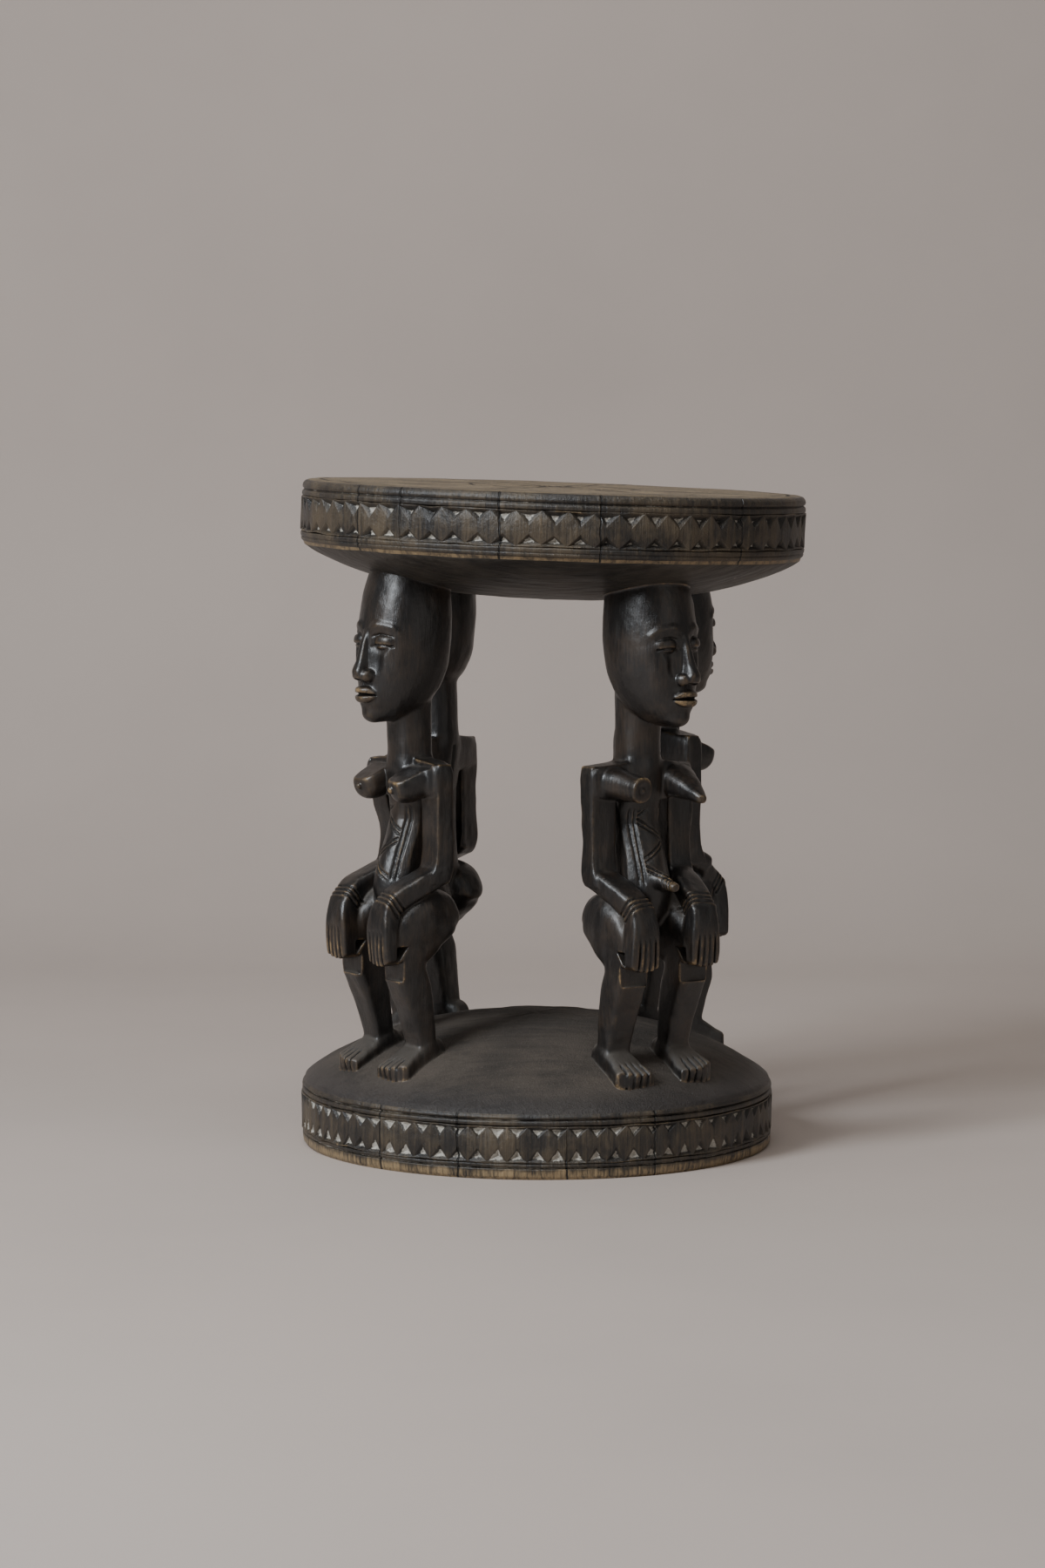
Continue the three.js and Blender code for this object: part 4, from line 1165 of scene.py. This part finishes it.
@dataclass
class Frieze:
    """A band of standing diamonds left between chip-cut triangles, laid round a rim."""

    name: str
    radius: float
    upper: float
    lower: float
    count: int
    cut_upper: float
    cut_lower: float
    depth: float
    seed: int
    back: float = 7.4
    margin: float = 0.7

    def tile(self) -> bpy.types.Object:
        """One pitch of the band, flat: x along the rim, y outwards, z up."""
        pitch = 2 * math.pi * self.radius / self.count
        top, low = self.upper - self.margin, self.lower + self.margin
        tall = top - low
        meet_u, meet_l = top - self.cut_upper * tall, low + self.cut_lower * tall
        points, faces = [], []

        def at(x: float, y: float, z: float) -> int:
            points.append((x * pitch * MM, y * MM, z * MM))
            return len(points) - 1

        tip_u, tip_l = at(0.5, 0, top), at(0.5, 0, low)
        side = {}
        for x in (0.0, 1.0):
            side[x] = {
                "edge_u": at(x, 0, self.upper), "top": at(x, 0, top), "deep_u": at(x, -self.depth, top - 0.42 * (top - meet_u)),
                "join_u": at(x, -0.5, meet_u), "join_l": at(x, -0.5, meet_l),
                "deep_l": at(x, -self.depth, low + 0.42 * (meet_l - low)), "low": at(x, 0, low),
                "edge_l": at(x, 0, self.lower), "back_u": at(x, -self.back, self.upper),
                "back_l": at(x, -self.back, self.lower)}
        L, R = side[0.0], side[1.0]
        faces += [(L["join_l"], tip_l, tip_u, L["join_u"]), (tip_l, R["join_l"], R["join_u"], tip_u)]
        for s, order in ((L, 1), (R, -1)):
            for tri in ((s["top"], s["deep_u"], tip_u), (s["deep_u"], s["join_u"], tip_u),
                        (s["join_l"], s["deep_l"], tip_l), (s["deep_l"], s["low"], tip_l)):
                faces.append(tri[::order])
        faces += [(L["top"], tip_u, R["top"], R["edge_u"], L["edge_u"]),
                  (L["edge_l"], R["edge_l"], R["low"], tip_l, L["low"]),
                  (L["edge_u"], R["edge_u"], R["back_u"], L["back_u"]),
                  (L["back_u"], R["back_u"], R["back_l"], L["back_l"]),
                  (L["back_l"], R["back_l"], R["edge_l"], L["edge_l"])]
        mesh = bpy.data.meshes.new(self.name + "_tile")
        mesh.from_pydata(points, [], faces)
        obj = bpy.data.objects.new(self.name + "_tile", mesh)
        bpy.context.scene.collection.objects.link(obj)
        return obj

    def tree(self) -> bpy.types.NodeTree:
        """Nodes that repeat the tile, bend the row round the rim and shake it as a hand would."""
        tree = bpy.data.node_groups.new(self.name + "_nodes", "GeometryNodeTree")
        face = tree.interface
        for name, kind, direction in (
                ("Geometry", "NodeSocketGeometry", "INPUT"), ("Tile", "NodeSocketObject", "INPUT"),
                ("Count", "NodeSocketInt", "INPUT"), ("Radius", "NodeSocketFloat", "INPUT"),
                ("Depth", "NodeSocketFloat", "INPUT"), ("Shake", "NodeSocketFloat", "INPUT"),
                ("Seed", "NodeSocketFloat", "INPUT"), ("Finish", "NodeSocketMaterial", "INPUT"),
                ("Geometry", "NodeSocketGeometry", "OUTPUT")):
            face.new_socket(name=name, in_out=direction, socket_type=kind)

        def node(kind: str, inputs: dict | None = None, **settings: object) -> bpy.types.Node:
            made = tree.nodes.new(kind)
            for key, value in settings.items():
                setattr(made, key, value)
            for key, value in (inputs or {}).items():
                if isinstance(value, bpy.types.NodeSocket):
                    tree.links.new(value, made.inputs[key])
                else:
                    made.inputs[key].default_value = value
            return made

        def sums(operation: str, *terms: object) -> bpy.types.NodeSocket:
            return node("ShaderNodeMath", dict(enumerate(terms)), operation=operation).outputs[0]

        given = node("NodeGroupInput").outputs
        turn = sums("MULTIPLY", given["Radius"], 2 * math.pi)
        pitch = sums("DIVIDE", turn, given["Count"])
        offset = node("ShaderNodeCombineXYZ", {"X": pitch}).outputs[0]
        row = node("GeometryNodeMeshLine", {"Count": given["Count"], "Offset": offset}, mode="OFFSET").outputs[0]
        tile = node("GeometryNodeObjectInfo", {"Object": given["Tile"], "As Instance": False}).outputs["Geometry"]
        many = node("GeometryNodeInstanceOnPoints", {"Points": row, "Instance": tile}).outputs[0]
        real = node("GeometryNodeRealizeInstances", {"Geometry": many}).outputs[0]
        place = node("GeometryNodeInputPosition").outputs[0]
        parts = node("ShaderNodeSeparateXYZ", {0: place}).outputs
        # How deep each point lies in its notch, for the residue and the painted shade in it
        deep = sums("DIVIDE", sums("MULTIPLY", parts["Y"], -1.0), given["Depth"])
        kept = node("GeometryNodeStoreNamedAttribute", {"Geometry": real, "Name": "depth", "Value": deep},
                    data_type="FLOAT", domain="POINT").outputs[0]
        angle = sums("DIVIDE", parts["X"], given["Radius"])
        out = sums("ADD", parts["Y"], given["Radius"])
        bent = node("ShaderNodeCombineXYZ", {"X": sums("MULTIPLY", out, sums("SINE", angle)),
                                             "Y": sums("MULTIPLY", out, sums("MULTIPLY", sums("COSINE", angle), -1.0)),
                                             "Z": parts["Z"]}).outputs[0]
        ring = node("GeometryNodeSetPosition", {"Geometry": kept, "Position": bent}).outputs[0]
        noise = node("ShaderNodeTexNoise", {"Vector": place, "W": given["Seed"], "Scale": 95.0, "Detail": 1.0},
                     noise_dimensions="4D").outputs["Color"]
        centred = node("ShaderNodeVectorMath", {0: noise, 1: (0.5, 0.5, 0.5)}, operation="SUBTRACT").outputs[0]
        shake = node("ShaderNodeVectorMath", {0: centred, "Scale": given["Shake"]}, operation="SCALE").outputs[0]
        shaken = node("GeometryNodeSetPosition", {"Geometry": ring, "Offset": shake}).outputs[0]
        merged = node("GeometryNodeMergeByDistance", {"Geometry": shaken, "Distance": 0.00002}).outputs[0]
        done = node("GeometryNodeSetMaterial", {"Geometry": merged, "Material": given["Finish"]}).outputs[0]
        node("NodeGroupOutput", {"Geometry": done})
        return tree

    def build(self, shift: Matrix, finish: bpy.types.Material) -> bpy.types.Object:
        """Lay the band round the rim.

        Args:
            shift: where the rim is, in millimetres.
            finish: its wood.

        Returns:
            The band as a plain closed mesh.
        """
        tile = self.tile()
        obj = bpy.data.objects.new(self.name, bpy.data.meshes.new(self.name))
        bpy.context.scene.collection.objects.link(obj)
        tree = self.tree()
        mod = obj.modifiers.new("frieze", "NODES")
        mod.node_group = tree
        values = {"Tile": tile, "Count": self.count, "Radius": self.radius * MM, "Depth": self.depth * MM,
                  "Shake": 0.0042, "Seed": float(self.seed), "Finish": finish}
        for item in tree.interface.items_tree:
            if item.in_out == "INPUT" and item.name in values:
                mod[item.identifier] = values[item.name]
        baked(obj)
        bpy.data.objects.remove(tile)
        bevel = obj.modifiers.new("worn edges", "BEVEL")
        bevel.width = 0.00042
        bevel.segments = 2
        bevel.limit_method = "ANGLE"
        bevel.angle_limit = math.radians(14)
        baked(obj)
        mesh = obj.data
        mesh.polygons.foreach_set("use_smooth", np.ones(len(mesh.polygons), bool))
        put_attribute(mesh, "worn", self._edges(mesh))
        mesh.transform(Matrix.Scale(MM, 4) @ shift @ Matrix.Scale(1 / MM, 4))
        return obj

    def _edges(self, mesh: bpy.types.Mesh) -> np.ndarray:
        """How much each vertex lies on a standing edge."""
        points, normals = points_of(mesh), normals_of(mesh)
        ends = np.empty(len(mesh.edges) * 2, np.int32)
        mesh.edges.foreach_get("vertices", ends)
        a, b = ends.reshape(-1, 2).T
        way = points[b] - points[a]
        way /= np.linalg.norm(way, axis=1, keepdims=True) + 1e-12
        bend = ((normals[b] - normals[a]) * way).sum(1)
        made = np.zeros(len(points))
        np.maximum.at(made, a, bend)
        np.maximum.at(made, b, bend)
        return np.clip(made * 1.3, 0, 1)


@dataclass
class Table:
    """The whole carving: top, foot, their friezes and the four women."""

    step: float = 0.9
    women: Sequence[Woman] = field(default_factory=list)

    def top_frame(self) -> Matrix:
        """Where the top sits, in millimetres."""
        return (Matrix.Translation((TOP_SHIFT, 0, TABLE_HEIGHT)) @ Matrix.Rotation(math.radians(-TOP_TILT_X), 4, "Y")
                @ Matrix.Rotation(math.radians(TOP_TILT_Y), 4, "X"))

    def top_profile(self) -> list[tuple[float, float, float, int]]:
        """The top from the middle of its face, over the rim, to the middle of its underside."""
        R = TOP_RADIUS
        face = [(2.0, 0.0), (60, 0), (120, 0), (R - 14, 0), (R - 5, -0.3)]
        rim = [(R - 5, -0.3), (R - 2.2, -1.2), (R - 0.7, -3.0), (R - 0.1, -5.2), (R - 0.6, -6.6), (R - 1.9, -7.5),
               (R - 0.7, -8.4), (R, -9.6), (R, -11.6), (R - 0.6, -12.5), (R - 6.3, -13.0), (R - 6.3, -38.7),
               (R - 0.5, -39.4), (R + 0.1, -40.4), (R - 0.2, -42.6), (R - 1.0, -43.3), (R - 0.4, -44.0), (R - 0.9, -45.6),
               (R - 2.2, -46.6)]
        bowl = [(R * t, -(TOP_RIM + TOP_BOWL * (1 - t**2.6) ** 0.8)) for t in np.linspace(0.984, 0.02, 40)]
        rows = [(r, z, 0.0, 0) for r, z in filled(face, 4.5)]
        rows += [(r, z, 1.0, 1) for r, z in filled(rim, 0.8)[1:]]
        return rows + [(r, z, 0.15, 2) for r, z in filled(bowl, 5.0)]

    def foot_profile(self) -> list[tuple[float, float, float, int]]:
        """The foot from the top of its dome, over the rim, to the middle of its flat underside."""
        R = FOOT_RADIUS
        dome = [(R * t, float(dome_height(np.array(R * t)))) for t in np.linspace(0.012, 0.985, 60)]
        rim = [(R - 1.8, 48.0), (R - 0.6, 46.6), (R - 0.3, 45.2), (R - 0.9, 44.5), (R - 2.4, 43.8), (R - 0.9, 43.1),
               (R - 0.3, 42.2), (R - 0.3, 40.4), (R - 0.9, 39.6), (R - 6.0, 39.0), (R - 6.0, 12.4), (R - 0.9, 11.8),
               (R - 0.4, 11.0), (R - 0.5, 9.4), (R - 2.2, 8.6), (R - 0.6, 7.8), (R - 0.7, 5.0), (R - 1.1, 2.2),
               (R - 2.6, 0.0)]
        rows = [(r, z, 0.1, 0) for r, z in filled(dome, 3.4)]
        rows += [(r, z, 1.0, 1) for r, z in filled(rim, 0.8)]
        return rows + [(r, 0.0, 1.0, 2) for r, _ in filled([(R - 12, 0), (3, 0)], 12.0)]

    def build(self) -> list[bpy.types.Object]:
        """Build and dress every piece in turn."""
        pieces = []
        wood = FigureWood().material()
        for woman in self.women:
            obj = woman.build()
            obj.data.materials.append(wood)
            pieces.append(obj)
            LOG.info("%s: %d faces", obj.name, len(obj.data.polygons))
        frame = self.top_frame()
        centre = (TOP_SHIFT * MM, 0.0, TABLE_HEIGHT * MM)
        rim = RimWood("top_rim_wood", centre, chalk_side=-0.35, chalk_from=1.26,
                      cracks=(-0.855, -0.63, -0.215, 0.17, 0.80, 1.35, 2.2, 3.05, -1.4, -2.3)).material()
        top = Disc("table_top", TOP_RADIUS, self.top_profile(), 5).build(frame)
        for finish in (TopWood().material(), rim, BowlWood().material()):
            top.data.materials.append(finish)
        band = Frieze("top_frieze", TOP_RADIUS, -12.7, -39.0, 64, 0.42, 0.34, 5.0, 3).build(frame, rim)
        foot_rim = RimWood("foot_rim_wood", (0, 0, 0), chalk_side=-0.75, chalk_from=0.78,
                           foot_worn=0.0085, cracks=(-0.7, -0.33, 0.12, 0.5, 1.1, 1.9, 2.7, -1.3, -2.0)).material()
        still = Matrix.Identity(4)
        foot = Disc("table_foot", FOOT_RADIUS, self.foot_profile(), 9).build(still)
        for finish in (DomeWood().material(), foot_rim, BowlWood().material()):
            foot.data.materials.append(finish)
        low_band = Frieze("foot_frieze", FOOT_RADIUS, 39.0, 12.2, 77, 0.32, 0.40, 4.6, 8).build(still, foot_rim)
        pieces += [top, band, foot, low_band]
        for obj in pieces[-4:]:
            LOG.info("%s: %d faces", obj.name, len(obj.data.polygons))
        return pieces


# ---- camera, light, ground


@dataclass
class Studio:
    """The plain room the table is seen in."""

    distance: float = 3.2
    height: float = 0.54632
    aside: float = -0.0118312
    pitch: float = 4.8712
    roll: float = 0.2163
    focal_px: float = 4831.77
    frame_px: float = 1800.0

    def camera(self) -> None:
        """Stand the camera where the photograph was taken from."""
        data = bpy.data.cameras.new("camera")
        data.sensor_width = 36.0
        data.lens = self.focal_px / self.frame_px * 36.0
        data.clip_end = 50.0
        obj = bpy.data.objects.new("camera", data)
        look = Matrix.Rotation(math.radians(90.0 - self.pitch), 4, "X") @ Matrix.Rotation(math.radians(self.roll), 4, "Z")
        obj.matrix_world = Matrix.Translation((self.aside, -self.distance, self.height)) @ look
        bpy.context.scene.collection.objects.link(obj)
        bpy.context.scene.camera = obj

    def light(self, name: str, at: Point, aim: Point, size: float, watts: float, tint: Point) -> None:
        """Hang one soft light."""
        data = bpy.data.lights.new(name, "AREA")
        data.shape = "RECTANGLE"
        data.size, data.size_y = size, size * 1.3
        data.energy = watts
        data.color = tint
        obj = bpy.data.objects.new(name, data)
        way = Vector(aim) - Vector(at)
        obj.matrix_world = Matrix.Translation(at) @ way.to_track_quat("-Z", "Y").to_matrix().to_4x4()
        bpy.context.scene.collection.objects.link(obj)

    def ground(self) -> None:
        """Floor that curves up into a backdrop."""
        rows = [(-6.0, 0.0), (1.0, 0.0)]
        rows += [(1.0 + 0.6 * math.sin(t), 0.6 - 0.6 * math.cos(t)) for t in np.linspace(0, math.pi / 2, 14)[1:]]
        rows += [(1.6, 4.0)]
        points = np.array([(x, y, z) for y, z in rows for x in (-7.0, 7.0)])
        faces = np.array([(2 * k, 2 * k + 1, 2 * k + 3, 2 * k + 2) for k in range(len(rows) - 1)])
        obj = make_mesh("ground", points, faces)
        obj.data.materials.append(StudioGround().material())

    def build(self) -> None:
        """Set everything up."""
        self.camera()
        self.ground()
        self.light("window", (-1.9, -1.9, 1.9), (0, 0, 0.28), 0.95, 92.0, (0.90, 0.95, 1.0))
        self.light("sky", (-0.3, -0.9, 2.8), (0, 0, 0.2), 1.5, 30.0, (1.0, 0.97, 0.93))
        self.light("fill", (2.6, -2.2, 1.2), (0, 0, 0.25), 2.2, 10.0, (1.0, 0.93, 0.86))
        world = bpy.data.worlds.new("room")
        world.use_nodes = True
        world.node_tree.nodes["Background"].inputs[0].default_value = (0.86, 0.84, 0.83, 1.0)
        world.node_tree.nodes["Background"].inputs[1].default_value = 0.16
        bpy.context.scene.world = world


def women(step: float) -> list[Woman]:
    """The four figures, each a little different from the others."""
    shared = {"step": step}
    return [
        Woman("woman_front_left", (-96, -69), -54, 0, 5, 0, Bust.PEAR, 30, 0, 0, 6, 11, **shared),
        Woman("woman_front_right", (73, -96), 37, 11, 14, 0, Bust.CONE, 44, 12, 0, 0, 23, **shared),
        Woman("woman_back_right", (93, 70), 126, 0, 10, 12, Bust.ROUND, 32, 7, 9, 0, 37, **shared),
        Woman("woman_back_left", (-79, 90), -122, 0, 5, 4, Bust.PEAR, 30, 5, 0, 0, 51, **shared),
    ]


def main() -> None:
    """Build the table in its room and hand every piece to its body."""
    logging.basicConfig(level=logging.INFO, format="%(message)s")
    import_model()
    Studio().build()
    table = Table(women=women(0.8))
    for piece in table.build():
        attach(piece, "root")
        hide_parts("carved_table")


if __name__ == "__main__":
    main()
